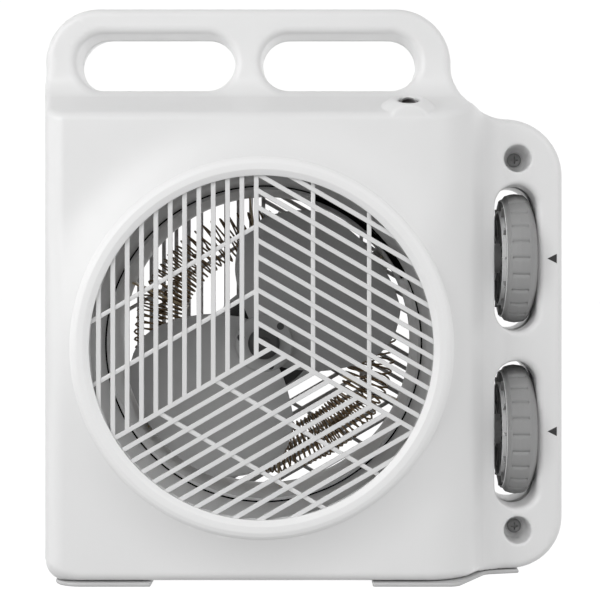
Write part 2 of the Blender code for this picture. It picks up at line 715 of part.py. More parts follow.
def make_lamp():
    lens = (
        (0.0, 0.0046), (0.0024, 0.0043), (0.0038, 0.0034), (LENS_R, 0.0022), (LENS_R, -0.0055), (0.0, -0.0055),
    )
    finish_part(on_shoulder(turned("lens", lens, lamp_frame(0.0), "Z", SMALL_STEPS)), "indicator_lens", "lens")
    lamp = ((0.0, -0.0058), (0.0030, -0.0058), (0.0030, -0.0175), (0.0, -0.0175))
    finish_part(on_shoulder(turned("lamp", lamp, lamp_frame(0.0), "Z", 16)), "indicator_lamp", "control_black")


# ---- Screws, feet and cord entry ----

def screw(center, side, floor, depth):
    """A pan-head screw whose head rests on a well's floor, with the head towards the given side."""
    head_low, head_high = floor + GAP, floor + GAP + SCREW_HEAD_T
    profile = (
        (0.0, head_high), (SCREW_HEAD_R - 0.0008, head_high), (SCREW_HEAD_R, head_high - 0.0009),
        (SCREW_HEAD_R, head_low), (SCREW_R, head_low), (SCREW_R, -depth), (0.0, -depth),
    )
    obj = turned("screw", profile, (center[0], 0.0, center[1]), "Y", 16)
    if side < 0:
        obj.rotation_euler = (math.radians(90), 0.0, 0.0)
    return obj


def make_screws():
    number = 0
    for side, centers, floor in ((-1, FLANGE_SCREWS, FLANGE_HALF - WELL_DEPTH), (1, BODY_SCREWS, 0.0100)):
        for center in centers:
            number += 1
            finish_part(screw(center, side, floor, 0.0120), f"case_screw_{number}", "steel")


def make_feet():
    left = [
        (LEFT_FOOT[0], -FOOT_HALF_Y), (LEFT_FOOT[1], -FOOT_HALF_Y),
        (LEFT_FOOT[1], FOOT_HALF_Y), (LEFT_FOOT[0], FOOT_HALF_Y),
    ]
    front = [(x, -share * FOOT_HALF_Y) for x, share in RIGHT_FOOT]
    back = [(x, share * FOOT_HALF_Y) for x, share in reversed(RIGHT_FOOT)]
    for name, outline in (("left_foot", left), ("right_foot", front + back)):
        foot = sheet(name, [outline], FOOT_T)
        foot.location.z = FOOT_T / 2
        finish_part(foot, name, "foot_gray")


def make_cord_entry():
    gland = (
        (0.0, 0.0450), (0.0031, 0.0450), (0.0031, 0.0536), (0.0042, 0.0536), (0.0050, 0.0493),
        (0.0075, 0.0493), (0.0075, 0.0473), (GLAND_R, 0.0473), (GLAND_R, 0.0400), (0.0, 0.0400),
    )
    turned_gland = turned("cord_gland", gland, (GLAND_X, 0.0, GLAND_Z), "Y", SMALL_STEPS)
    finish_part(turned_gland, "cord_gland", "control_black")
    finish_part(box((0.029, 0.018, 0.022), (0.026, 0.014, 0.012)), "terminal_block", "foot_gray")


def main():
    start_scene()
    make_shells()
    make_grilles()
    make_air_path()
    make_fan()
    make_motor()
    make_heater()
    make_controls()
    make_lamp()
    make_screws()
    make_feet()
    make_cord_entry()


main()
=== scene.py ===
"""Looks of a portable fan heater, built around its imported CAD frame.

Lengths are in millimetres until a mesh is made. X is to the right, Z is up, and the front faces -Y.
The shells are level sets of distance fields, so that every moulded edge is a real fillet.
"""

import json
import math

import bmesh
import bpy
import numpy as np
import openvdb
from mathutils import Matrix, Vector


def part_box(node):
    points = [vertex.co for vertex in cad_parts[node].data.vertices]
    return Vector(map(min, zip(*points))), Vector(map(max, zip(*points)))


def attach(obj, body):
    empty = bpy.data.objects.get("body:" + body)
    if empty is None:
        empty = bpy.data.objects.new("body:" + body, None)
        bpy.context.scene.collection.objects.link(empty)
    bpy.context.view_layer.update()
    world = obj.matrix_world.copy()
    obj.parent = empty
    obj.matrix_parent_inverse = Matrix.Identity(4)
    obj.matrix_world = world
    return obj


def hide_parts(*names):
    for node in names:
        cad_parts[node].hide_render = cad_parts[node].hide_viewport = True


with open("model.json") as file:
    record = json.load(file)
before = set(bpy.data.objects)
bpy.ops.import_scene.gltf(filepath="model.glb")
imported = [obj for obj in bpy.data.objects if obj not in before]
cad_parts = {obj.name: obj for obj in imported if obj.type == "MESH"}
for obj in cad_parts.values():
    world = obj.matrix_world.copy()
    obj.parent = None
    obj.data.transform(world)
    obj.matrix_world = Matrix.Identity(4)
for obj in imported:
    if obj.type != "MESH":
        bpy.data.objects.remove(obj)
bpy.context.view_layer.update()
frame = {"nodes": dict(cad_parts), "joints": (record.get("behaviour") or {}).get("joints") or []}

MM = 0.001
PIVOT = {joint["child"]: Vector(joint["pos_m"]) / MM for joint in frame["joints"]}
AXIS_X, AXIS_Z = PIVOT["fan"].x, PIVOT["fan"].z
WHEEL_X = PIVOT["thermostat"].x
WHEEL_Z = {"thermostat": PIVOT["thermostat"].z, "selector": PIVOT["selector"].z}


# ---- Materials ----

def node(tree, kind, **inputs):
    """A shader node with its inputs set, or linked where a socket is given.

    An input goes by its name, or by its number as in i0. A key that starts with _ is a setting.
    """
    made = tree.nodes.new(kind)
    for key, value in inputs.items():
        if key.startswith("_"):
            setattr(made, key[1:], value)
            continue
        numbered = key[0] == "i" and key[1:].isdigit()
        socket = made.inputs[int(key[1:]) if numbered else key.replace("_", " ")]
        if isinstance(value, bpy.types.NodeSocket):
            tree.links.new(value, socket)
        else:
            socket.default_value = value
    return made


def noise(tree, place, scale, detail, roughness):
    made = node(tree, "ShaderNodeTexNoise", Vector=place, Scale=scale, Detail=detail, Roughness=roughness)
    return made.outputs["Fac"]


def spread(tree, value, low, high, start=0.3, end=0.7):
    """A value from start to end, mapped to low to high."""
    made = node(tree, "ShaderNodeMapRange", Value=value)
    for key, number in (("From Min", start), ("From Max", end), ("To Min", low), ("To Max", high)):
        made.inputs[key].default_value = number
    return made.outputs["Result"]


def mix_color(tree, share, one, two):
    made = node(tree, "ShaderNodeMix", _data_type="RGBA")
    for index, value in ((0, share), (6, one), (7, two)):
        if isinstance(value, bpy.types.NodeSocket):
            tree.links.new(value, made.inputs[index])
        else:
            made.inputs[index].default_value = value
    return made.outputs[2]


def shade(color, factor):
    """A color made lighter or darker, with its alpha added."""
    return tuple(min(1.0, channel * factor) for channel in color[:3]) + (1.0,)


# Painted light: some of the plastic is painted lighter on the side of the fan's axis that faces this way,
# where more light falls
PAINTED_LIGHT_FROM = PIVOT["fan"] * MM
PAINTED_LIGHT_TOWARD = (-0.60, 0.0, -0.80)


def surface(name, color, rough=0.4, rough_spread=0.05, metal=0.0, tint=0.03, grain=1400.0,
            grain_depth=0.00003, wave=0.0, wave_depth=0.0, wear=0.06, specular=0.5, coat=0.0,
            stretch=(1.0, 1.0, 1.0), painted_light=0.0):
    """A moulded, painted or metal surface: fine grain, slow unevenness, colour drift and lighter edges.

    The last argument is the share by which the colour is painted lighter to the lower left of the fan's
    axis: painted light, not a real change of colour.
    """
    made = bpy.data.materials.new(name)
    made.use_nodes = True
    tree = made.node_tree
    tree.nodes.clear()
    place = node(tree, "ShaderNodeTexCoord").outputs["Object"]
    along = node(tree, "ShaderNodeMapping", Vector=place, Scale=stretch).outputs["Vector"]
    fine = noise(tree, along, grain, 2.0, 0.6)
    cloud = noise(tree, place, 18.0, 4.0, 0.55)
    patch = noise(tree, along, 130.0, 3.0, 0.5)
    base = mix_color(tree, spread(tree, cloud, 0.0, 1.0), shade(color, 1 - tint), shade(color, 1 + tint))
    base = mix_color(tree, spread(tree, fine, 0.0, tint * 2.0), base, shade(color, 0.80))
    edge = node(tree, "ShaderNodeNewGeometry").outputs["Pointiness"]
    base = mix_color(tree, spread(tree, edge, 0.0, wear * 4.0, 0.52, 0.60), base, shade(color, 1.35))
    # Painted light: lighter towards the lower left of the fan's axis
    if painted_light:
        away = node(tree, "ShaderNodeVectorMath", _operation="SUBTRACT", i0=place, i1=PAINTED_LIGHT_FROM)
        away = node(tree, "ShaderNodeVectorMath", _operation="NORMALIZE", i0=away.outputs[0])
        share = node(tree, "ShaderNodeVectorMath", _operation="DOT_PRODUCT", i0=away.outputs[0],
                     i1=PAINTED_LIGHT_TOWARD)
        share = spread(tree, share.outputs["Value"], 0.0, 1.0, 0.15, 1.0)
        base = mix_color(tree, share, base, shade(color, 1.0 + painted_light))
    height = fine
    if wave:
        slow = noise(tree, place, wave, 1.0, 0.4)
        height = node(tree, "ShaderNodeMath", _operation="MULTIPLY_ADD", i0=slow,
                      i1=wave_depth / grain_depth, i2=fine).outputs[0]
    bump = node(tree, "ShaderNodeBump", Strength=1.0, Distance=grain_depth, Height=height).outputs["Normal"]
    shader = node(tree, "ShaderNodeBsdfPrincipled", Base_Color=base, Metallic=metal, Normal=bump,
                  Roughness=spread(tree, patch, rough - rough_spread, rough + rough_spread))
    shader.inputs["Specular IOR Level"].default_value = specular
    if coat:
        shader.inputs["Coat Weight"].default_value = coat
        shader.inputs["Coat Roughness"].default_value = 0.08
    node(tree, "ShaderNodeOutputMaterial", Surface=shader.outputs["BSDF"])
    return made


def winding(name, color):
    """Enamelled copper wire, wound in turns that cross the coil's face."""
    made = surface(name, color, rough=0.28, metal=1.0, tint=0.10, grain=500.0, wear=0.0)
    tree = made.node_tree
    shader = next(n for n in tree.nodes if n.type == "BSDF_PRINCIPLED")
    place = node(tree, "ShaderNodeTexCoord").outputs["Object"]
    turns = node(tree, "ShaderNodeTexWave", Vector=place, Scale=900.0, Distortion=2.0, Detail=1.0,
                 _wave_type="RINGS", _rings_direction="Y")
    bump = node(tree, "ShaderNodeBump", Strength=1.0, Distance=0.0002, Height=turns.outputs["Fac"])
    tree.links.new(bump.outputs["Normal"], shader.inputs["Normal"])
    return made


def mica_sheet(name, color):
    """Pressed mica: flakes of slightly different shades and a waxy sheen."""
    made = surface(name, color, rough=0.35, tint=0.10, grain=700.0, grain_depth=0.00008, wear=0.0)
    tree = made.node_tree
    shader = next(n for n in tree.nodes if n.type == "BSDF_PRINCIPLED")
    place = node(tree, "ShaderNodeTexCoord").outputs["Object"]
    flakes = node(tree, "ShaderNodeTexVoronoi", Vector=place, Scale=420.0)
    base = mix_color(tree, spread(tree, flakes.outputs["Distance"], 0.0, 0.6, 0.0, 0.8),
                     shade(color, 1.25), shade(color, 0.6))
    tree.links.new(base, shader.inputs["Base Color"])
    return made


MATERIALS = {
    "shell_white": surface("shell_plastic", (0.87, 0.87, 0.87), rough=0.37, tint=0.012, grain=1900.0,
                           grain_depth=0.000022, wave=26.0, wave_depth=0.00005, wear=0.05),
    # The ring is the shell's own plastic, painted lighter than the shell: painted light on its raised crown
    "ring_white": surface("ring_plastic", (0.93, 0.93, 0.93), rough=0.40, tint=0.008, grain=1900.0,
                          grain_depth=0.000018, wear=0.0),
    "grille_white": surface("grille_plastic", (0.735, 0.735, 0.735), rough=0.40, tint=0.02, grain=1700.0,
                            grain_depth=0.00003, wear=0.05),
    # The cone's and the fan's plastic carry painted light, lighter to the lower left of the fan's axis
    "cone_gray": surface("cone_plastic", (0.46, 0.46, 0.46), rough=0.46, tint=0.05, grain=900.0,
                         grain_depth=0.00006, painted_light=0.85),
    "fan_gray": surface("fan_plastic", (0.32, 0.32, 0.32), rough=0.50, tint=0.06, grain=750.0,
                        grain_depth=0.00007, painted_light=0.45),
    "hub_black": surface("hub_plastic", (0.050, 0.050, 0.050), rough=0.45, tint=0.08),
    "wheel_gray": surface("wheel_rubber", (0.335, 0.335, 0.335), rough=0.58, tint=0.05, grain=1300.0,
                          grain_depth=0.00006, specular=0.35),
    "control_black": surface("control_phenolic", (0.02, 0.02, 0.02), rough=0.38, tint=0.10),
    "motor_black": surface("motor_paint", (0.018, 0.018, 0.018), rough=0.33, tint=0.10, coat=0.3),
    "steel": surface("screw_steel", (0.30, 0.30, 0.30), rough=0.45, metal=1.0, tint=0.06, grain=800.0,
                     grain_depth=0.00005, stretch=(1.0, 6.0, 1.0)),
    "copper": winding("copper_wire", (0.62, 0.27, 0.13)),
    "bronze": surface("sintered_bronze", (0.48, 0.34, 0.17), rough=0.45, metal=1.0, tint=0.12,
                      grain=1100.0, grain_depth=0.00008),
    "zinc_sheet": surface("zinc_plate", (0.56, 0.56, 0.56), rough=0.36, metal=1.0, tint=0.12, grain=260.0,
                          grain_depth=0.00006),
    "mica": mica_sheet("pressed_mica", (0.46, 0.36, 0.22)),
    "nichrome": surface("heating_wire", (0.30, 0.21, 0.12), rough=0.38, metal=0.40, tint=0.35,
                        grain=900.0, grain_depth=0.00005, wear=0.0),
    "lens": surface("lens_resin", (0.012, 0.010, 0.010), rough=0.10, rough_spread=0.03, tint=0.05,
                    coat=1.0, grain=600.0, grain_depth=0.00001),
    "foot_gray": surface("foot_rubber", (0.565, 0.565, 0.565), rough=0.62, tint=0.04, grain=1100.0,
                         grain_depth=0.00008, specular=0.3),
}
MARK = surface("mark_ink", (0.036, 0.036, 0.036), rough=0.5, tint=0.10)
# A much lighter copy of the wheel's grey for its web and drum: painted light in that shaded recess
WEB_PAINTED_LIGHT = surface("wheel_web_painted_light", (0.85, 0.85, 0.85), rough=0.60, tint=0.05, grain=1300.0, grain_depth=0.00005,
              wear=0.0, specular=0.3)
# Near-black, as painted shade: in the window's pocket and in the gap between cone and shroud
SHADE_BLACK = surface("painted_shade_black", (0.004, 0.004, 0.004), rough=0.9, tint=0.10, wear=0.0, specular=0.1)


# ---- Mesh helpers ----

def add_object(name, data):
    obj = bpy.data.objects.new(name, data)
    bpy.context.scene.collection.objects.link(obj)
    return obj


def mesh_object(name, points, faces, material):
    """A smooth-shaded mesh from points in millimetres."""
    mesh = bpy.data.meshes.new(name)
    mesh.from_pydata([tuple(float(c) * MM for c in p) for p in points], [], faces)
    mesh.validate()
    mesh.shade_smooth()
    obj = add_object(name, mesh)
    mesh.materials.append(material)
    return obj


def place_piece(obj, body, slot, *nodes):
    """Says which body a piece rides on and hides the CAD nodes it stands for; slot is not used."""
    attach(obj, body)
    if nodes:
        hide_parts(*nodes)


class Builder:
    """Collects points and faces of several closed shapes for one mesh."""

    def __init__(self):
        self.points, self.faces = [], []

    def add(self, points, faces):
        base = len(self.points)
        self.points += [tuple(p) for p in points]
        self.faces += [tuple(base + i for i in face) for face in faces]

    def rings(self, rings, closed_along=False):
        """A skin over rings of the same number of points, with its two ends capped or joined."""
        count = len(rings[0])
        points = [p for ring in rings for p in ring]
        faces = []
        last = len(rings) if closed_along else len(rings) - 1
        for i in range(last):
            one, two = i * count, (i + 1) % len(rings) * count
            for j in range(count):
                k = (j + 1) % count
                faces.append((one + j, one + k, two + k, two + j))
        if not closed_along:
            faces.append(tuple(range(count))[::-1])
            faces.append(tuple((len(rings) - 1) * count + j for j in range(count)))
        self.add(points, faces)

    def hoop(self, rings):
        """A skin over rings that stand around an axis, the last one joined to the first."""
        count = len(rings[0])
        faces = []
        for i in range(len(rings)):
            one, two = i * count, (i + 1) % len(rings) * count
            for j in range(count):
                k = (j + 1) % count
                faces.append((one + j, two + j, two + k, one + k))
        self.add([p for ring in rings for p in ring], faces)

    def turned(self, profile, frame_of, steps):
        """A closed profile of (radius, along), turned about the axis of frame_of(along, u, v)."""
        rings = []
        for i in range(steps):
            angle = 2 * math.pi * i / steps
            c, s = math.cos(angle), math.sin(angle)
            rings.append([frame_of(along, radius * c, radius * s) for radius, along in profile])
        self.hoop(rings)

    def make(self, name, material, crease, weld):
        """The mesh object, creased where faces turn by more than an angle, its points welded if asked."""
        obj = mesh_object(name, self.points, self.faces, material)
        if weld:
            work = bmesh.new()
            work.from_mesh(obj.data)
            bmesh.ops.remove_doubles(work, verts=work.verts, dist=weld * MM)
            bmesh.ops.dissolve_degenerate(work, edges=work.edges, dist=weld * MM)
            bmesh.ops.recalc_face_normals(work, faces=work.faces)
            work.to_mesh(obj.data)
            work.free()
            obj.data.shade_smooth()
        if crease:
            obj.data.set_sharp_from_angle(angle=math.radians(crease))
        return obj

    def piece(self, name, body, slot, *nodes, material=None, crease=32.0, weld=0.001):
        """Makes the object and places it, with its slot's material unless another is given."""
        obj = self.make(name, material or MATERIALS[slot], crease, weld)
        place_piece(obj, body, slot, *nodes)


def fan_frame(along, u, v):
    """Along the fan's axis, with u to the right and v up."""
    return (AXIS_X + u, along, AXIS_Z + v)


def rounded(corners, steps=6):
    """A closed outline whose corners, given as (x, y, radius), are arcs."""
    result = []
    count = len(corners)
    for i in range(count):
        here, radius = Vector(corners[i][:2]), corners[i][2]
        if radius <= 0:
            result.append(tuple(here))
            continue
        before = (Vector(corners[i - 1][:2]) - here).normalized()
        after = (Vector(corners[(i + 1) % count][:2]) - here).normalized()
        half = before.angle(after) / 2
        reach = radius / math.tan(half)
        center = here + (before + after).normalized() * (radius / math.sin(half))
        start = here + before * reach - center
        end = here + after * reach - center
        turn = start.angle_signed(end)
        for step in range(steps + 1):
            angle = -turn * step / steps
            result.append((
                center.x + start.x * math.cos(angle) - start.y * math.sin(angle),
                center.y + start.x * math.sin(angle) + start.y * math.cos(angle),
            ))
    return result


# ---- Shells, as distance fields ----

OUTLINE = {"left": -113.5, "right": 113.5, "top": 248.0, "bottom": 2.0, "flange_top": 199.6,
           "handle_right": 64.6}
FLANGE = 19.5
FACE = 47.0
WALL = 2.4
LEFT_DRAFT = 0.17
# Two slanted sides of the bulge: a place and a depth on the plane, and the plane's outward direction
BULGE_RIGHT = (81.0, FLANGE, 0.878, 0.479)
SHOULDER = (210.8, 20.5, 0.916, 0.401)
ROUNDING = {
    # corners of the outline, seen from the front
    "handle": 24.4, "flange": 25.2, "step": 23.5, "left": 23.3, "bottom_left": 8.0, "bottom_right": 23.0,
    # edges of the plate, and of the bulge that stands on it
    "plate": 3.5, "face": 8.0, "bulge_right": 14.0, "shoulder": 2.6, "handle_panel": 2.0, "fillet": 7.0,
}
# The underside's edge: its rounding at the left end, and how much less it is past a stretch of x
UNDERSIDE, UNDERSIDE_LESS, UNDERSIDE_FROM, UNDERSIDE_TO = 8.0, 4.0, -110.0, -94.0
PARTING_GAP = 0.15
RING_STEP, RING_SEAM = 79.4, 75.6
GRILLE_FRONT = 51.3
RING = (
    # radius, depth from the parting plane and rounding: the outer step, the crest, then the grille's seat
    (80.6, 51.4, 0.0), (79.9, 52.6, 0.6), (78.8, 53.4, 1.0), (77.2, 54.0, 2.0), (74.5, 54.0, 0.9),
    (72.0, 52.6, 0.35), (72.0, 51.4, 0.1), (74.6, 51.4, 0.0), (74.6, 44.7, 0.0), (76.6, 44.7, 0.0),
    (76.6, 50.0, 0.0),
)
FLARE_RISE, FLARE_REACH = 5.6, 22.0
HANDLE_Z, HANDLE_HALF, HANDLE_EDGE = 224.45, 12.75, 3.2
HANDLES = ((-65.1, 35.1), (15.75, 34.85))
# How much tighter the finger openings are at the parting plane and at the flange's depth, by side
HANDLE_DRAFT = {-1: (1.0, 0.0), 1: (1.0, -1.9)}
SLOT_X, SLOT_Z = WHEEL_X - 0.3, (138.5, 61.0)
SLOT_HALF_X, SLOT_HALF_Z, SLOT_WALL, REAR_SLOT_DRAFT = 9.4, 32.1, 1.8, 0.6
SPINDLE_HOLE_R, SPINDLE_HOLE_FROM = 4.0, 60.0
FLANGE_SCREWS = ((93.7, 182.2), (93.7, 19.1))
BODY_SCREWS = ((-92.0, 20.0), (-92.0, 185.0), (54.0, 20.0), (54.0, 185.0))
WELL_R, WELL_DRAFT, WELL_OUTER_R = 5.3, 0.05, 8.2
WELL_FLOOR = {-1: FLANGE - 14.0, 1: 10.0}
POST_R, SCREW_HOLE_R, SCREW_HOLE_DEPTH = 4.5, 1.9, 13.0
LAMP_TILT = math.radians(24.0)
LAMP = (44.5, 38.4, 202.95)
# The lamp's boss and the dish in it are parts of spheres: middle along the lamp's axis, and radius
BOSS_BALL, BOSS_TOP, BOSS_FOOT = (-10.6, 15.6), 3.6, -3.0
DISH_BALL = (14.6, 12.6)
LENS_HOLE_R, LENS_HOLE_FOOT = 4.5, -6.0
GLAND, GLAND_HOLE_R, GLAND_HOLE_FROM = (30.0, 20.0), 5.3, 30.0
VOXEL = 1.0
REACH = 4.0
SHELL_MERGE = {-1: 0.01, 1: 0.03}


def round_max(a, b, r):
    """The inside of both fields, with their edge rounded to radius r."""
    u, v = np.maximum(a + r, 0), np.maximum(b + r, 0)
    return np.minimum(np.maximum(a, b), -r) + np.sqrt(u * u + v * v)


def round_min(a, b, r):
    """The inside of either field, with a fillet of radius r where they meet."""
    return -round_max(-a, -b, r)


def stadium(x, z, center_x, center_z, half_x, half_z):
    """Distance from a slot with round ends."""
    r = min(half_x, half_z)
    dx = np.maximum(np.abs(x - center_x) - (half_x - r), 0)
    dz = np.maximum(np.abs(z - center_z) - (half_z - r), 0)
    return np.sqrt(dx * dx + dz * dz) - r


def ramp(value, start, end):
    """0 before start, 1 after end, and smooth between."""
    share = np.clip((value - start) / (end - start), 0, 1)
    return share * share * (3 - 2 * share)


def slanted(across, t, plane):
    """Distance from a slanted plane."""
    place, depth, out, front = plane
    return (across - place) * out + (t - depth) * front


def outer_form(x, t, z):
    """The body's outside without its openings, and the distance from the fan's axis.

    t is the depth from the parting plane.
    """
    handle = round_max(z - OUTLINE["top"], x - OUTLINE["handle_right"], ROUNDING["handle"])
    flange = round_max(z - OUTLINE["flange_top"], x - OUTLINE["right"], ROUNDING["flange"])
    upper = round_min(handle, flange, ROUNDING["step"])
    side = round_max(upper, OUTLINE["left"] - x, ROUNDING["left"])
    corner = np.where(x < 0, ROUNDING["bottom_left"], ROUNDING["bottom_right"])
    side = round_max(side, OUTLINE["bottom"] - z, corner)
    plate = round_max(side, t - FLANGE, ROUNDING["plate"])
    left = OUTLINE["left"] + 0.2 - x + LEFT_DRAFT * (t - FLANGE)
    radius = np.sqrt((x - AXIS_X) ** 2 + (z - AXIS_Z) ** 2)
    flare = FLARE_RISE * np.clip(1 - (radius - RING_STEP) / FLARE_REACH, 0, 1) ** 2
    bulge = round_max(left, t - FACE - flare, ROUNDING["face"])
    bulge = round_max(bulge, slanted(x, t, BULGE_RIGHT), ROUNDING["bulge_right"])
    underside = UNDERSIDE - UNDERSIDE_LESS * ramp(x, UNDERSIDE_FROM, UNDERSIDE_TO)
    bulge = round_max(bulge, OUTLINE["bottom"] - z, underside)
    bulge = round_max(bulge, slanted(z, t, SHOULDER), ROUNDING["shoulder"])
    bulge = round_max(bulge, upper, ROUNDING["handle_panel"])
    form = round_min(plate, bulge, ROUNDING["fillet"])
    wall = OUTLINE["left"] - x + LEFT_DRAFT * np.maximum(t - FLANGE, 0)
    form = np.maximum(form, np.maximum(side, wall))
    return form, radius


def from_line(x, z, center):
    """Distance from a line through the body, along Y."""
    return np.sqrt((x - center[0]) ** 2 + (z - center[1]) ** 2)


def lamp_places(x, t, z):
    """Places along the lamp's axis, and their distance from it."""
    along = (t - LAMP[1]) * math.sin(LAMP_TILT) + (z - LAMP[2]) * math.cos(LAMP_TILT)
    across = (t - LAMP[1]) * math.cos(LAMP_TILT) - (z - LAMP[2]) * math.sin(LAMP_TILT)
    return along, np.sqrt((x - LAMP[0]) ** 2 + across ** 2)


def add_lamp_boss(form, x, t, z):
    """The dished boss on the shoulder, with the hole that its lens stands in."""
    along, r = lamp_places(x, t, z)
    dome = np.sqrt(r ** 2 + (along - BOSS_BALL[0]) ** 2) - BOSS_BALL[1]
    dome = round_max(dome, along - BOSS_TOP, 0.5)
    dome = round_max(dome, t - FACE + 0.3, 0.6)
    form = round_min(form, np.maximum(dome, BOSS_FOOT - along), 0.3)
    dish = np.sqrt(r ** 2 + (along - DISH_BALL[0]) ** 2) - DISH_BALL[1]
    form = round_max(form, -dish, 0.4)
    return np.maximum(form, -np.maximum(r - LENS_HOLE_R, LENS_HOLE_FOOT - along))


def shell_field(side, x, t, z):
    """One moulded half: side -1 is the front and 1 the rear."""
    form, radius = outer_form(x, t, z)
    form = round_max(form, PARTING_GAP - t, 0.5)
    inside = np.maximum(form + WALL, t - (FACE - WALL))
    wells, posts = (FLANGE_SCREWS, BODY_SCREWS) if side < 0 else (BODY_SCREWS, FLANGE_SCREWS)
    floor = WELL_FLOOR[side]
    for center in wells:
        r = from_line(x, z, center)
        inside = np.maximum(inside, -np.maximum(r - WELL_OUTER_R, floor - WALL - t))
        inside = np.maximum(inside, -(r - POST_R))
        well = round_max(r - WELL_R - WELL_DRAFT * (t - floor), floor - t, 2.4)
        form = round_max(form, -well, 0.9)
        form = np.maximum(form, -(r - SCREW_HOLE_R))
    for center in posts:
        r = from_line(x, z, center)
        inside = np.maximum(inside, -(r - POST_R))
        form = np.maximum(form, -np.maximum(r - SCREW_HOLE_R, t - SCREW_HOLE_DEPTH))
    at_parting, at_outside = HANDLE_DRAFT[side]
    for center_x, half_x in HANDLES:
        hole = stadium(x, z, center_x, HANDLE_Z, half_x, HANDLE_HALF)
        hole = hole + at_parting + (at_outside - at_parting) * t / FLANGE
        inside = np.maximum(inside, WALL - hole)
        form = round_max(form, -hole, HANDLE_EDGE)
    for center_z in SLOT_Z:
        hole = stadium(x, z, SLOT_X, center_z, SLOT_HALF_X, SLOT_HALF_Z)
        hole = hole if side < 0 else hole + REAR_SLOT_DRAFT * t / FLANGE
        inside = np.maximum(inside, SLOT_WALL - hole)
        form = round_max(form, -hole, 1.0 + 2.2 * ramp(x - WHEEL_X, -7.0, 5.0))
    for center_z in WHEEL_Z.values():
        spindle = np.sqrt(t ** 2 + (z - center_z) ** 2) - SPINDLE_HOLE_R
        form = np.maximum(form, -np.maximum(spindle, np.maximum(x - WHEEL_X, SPINDLE_HOLE_FROM - x)))
    if side < 0:
        form = add_lamp_boss(form, x, t, z)
    else:
        cord_hole = np.maximum(from_line(x, z, GLAND) - GLAND_HOLE_R, GLAND_HOLE_FROM - t)
        form = round_max(form, -cord_hole, 0.6)
    shell = np.maximum(form, -inside)
    return np.maximum(shell, np.maximum(RING_SEAM - radius, PARTING_GAP - t))


def slope(field_at, places):
    """The direction in which a field grows, at places given as x, depth and z."""
    step = 0.3
    parts = []
    for axis in range(3):
        shift = np.zeros(3)
        shift[axis] = step
        parts.append(field_at(*(places + shift).T) - field_at(*(places - shift).T))
    result = np.stack(parts, -1)
    return result / np.maximum(np.linalg.norm(result, axis=1, keepdims=True), 1e-9)


def field_mesh(name, field_at, axes, side, material, adaptivity):
    """A mesh of a field's zero surface, with its points moved onto it and normals read off the field."""
    field = field_at(axes[0][:, None, None], axes[1][None, :, None], axes[2][None, None, :])
    grid = openvdb.FloatGrid(REACH)
    grid.copyFromArray(np.clip(field, -REACH, REACH).astype(np.float32))
    points, triangles, quads = grid.convertToPolygons(isovalue=0.0, adaptivity=adaptivity)
    places = points * VOXEL + np.array([axis[0] for axis in axes])
    for _ in range(2):
        away = np.clip(field_at(*places.T), -0.35 * VOXEL, 0.35 * VOXEL)
        places = places - slope(field_at, places) * away[:, None]
    normals = slope(field_at, places)
    places[:, 1] *= side
    normals[:, 1] *= side
    faces = [tuple(f) for f in quads.tolist()] + [tuple(f) for f in triangles.tolist()]
    first = quads[:, :3]
    turn = np.cross(places[first[:, 1]] - places[first[:, 0]], places[first[:, 2]] - places[first[:, 0]])
    if np.einsum("ij,ij->i", turn, normals[first[:, 0]]).sum() < 0:
        faces = [face[::-1] for face in faces]
    mesh = bpy.data.meshes.new(name)
    mesh.from_pydata((places * MM).tolist(), [], faces)
    mesh.shade_smooth()
    mesh.normals_split_custom_set_from_vertices(normals.tolist())
    obj = add_object(name, mesh)
    mesh.materials.append(material)
    return obj


def make_shells():
    axes = [np.arange(low, high, VOXEL) for low, high in ((-118.0, 118.0), (-2.0, 57.0), (-1.0, 251.0))]
    for side, name in ((-1, "front_shell"), (1, "rear_shell")):
        def field_at(x, t, z, side=side):
            return shell_field(side, x, t, z)

        obj = field_mesh(name + "_moulded", field_at, axes, side, MATERIALS["shell_white"],
                         SHELL_MERGE[side])
        place_piece(obj, "casing", "shell_white", name)
        ring = Builder()
        ring.turned([(r, side * depth) for r, depth in rounded(RING, 5)], fan_frame, 256)
        ring.piece(name + "_ring", "casing", "shell_white", material=MATERIALS["ring_white"], crease=40.0)


# ---- Grilles ----

GRILLE_R = 74.3
RIM = 2.0
BAR_FIRST, BAR_PITCH, BAR_COUNT, BAR_WIDTH = 2.14, 6.0, 12, 2.0
CROSS_FIRST, CROSS_STEP, CROSS_WIDTH = 21.6, 23.5, 1.85
CROSSBARS, CROSS_BACK = 2, 0.6
BAR_DEPTH = 2.5
BAR_SECTION = (
    # share of the half width, and share of the depth
    (-0.88, 1.0), (-1.0, 0.16), (-0.96, 0.06), (-0.84, 0.01), (0.0, 0.0),
    (0.84, 0.01), (0.96, 0.06), (1.0, 0.16), (0.88, 1.0),
)
SECTORS = 3
LEAN = 2 * math.pi / SECTORS - math.pi / 2


def bar(builder, start, end, width, front, back, side, turn):
    """One grille bar between two points of a sector, with a crowned outer face."""
    start, end = Vector(start), Vector(end)
    across = (end - start).normalized().orthogonal() * (width / 2)
    depth = back - front
    angle = turn * 2 * math.pi / SECTORS
    rings = []
    for end_point in (start, end):
        ring = []
        for reach, deep in BAR_SECTION:
            u, v = end_point + across * reach
            x = -u * math.cos(angle) - v * math.sin(angle)
            z = -u * math.sin(angle) + v * math.cos(angle)
            ring.append((AXIS_X + x, side * (front + depth * deep), AXIS_Z + z))
        rings.append(ring)
    builder.rings(rings)


def cross_height(u, away):
    """The height at u of a crossbar that passes the middle at a distance."""
    return (away - u * math.sin(LEAN)) / math.cos(LEAN)


def cross_end(away, reach):
    """Where a crossbar meets the rim, closed in on step by step."""
    v = cross_height(0.0, away)
    for _ in range(40):
        u = math.sqrt(max(reach ** 2 - v ** 2, 0.0))
        v = cross_height(u, away)
    return u, v


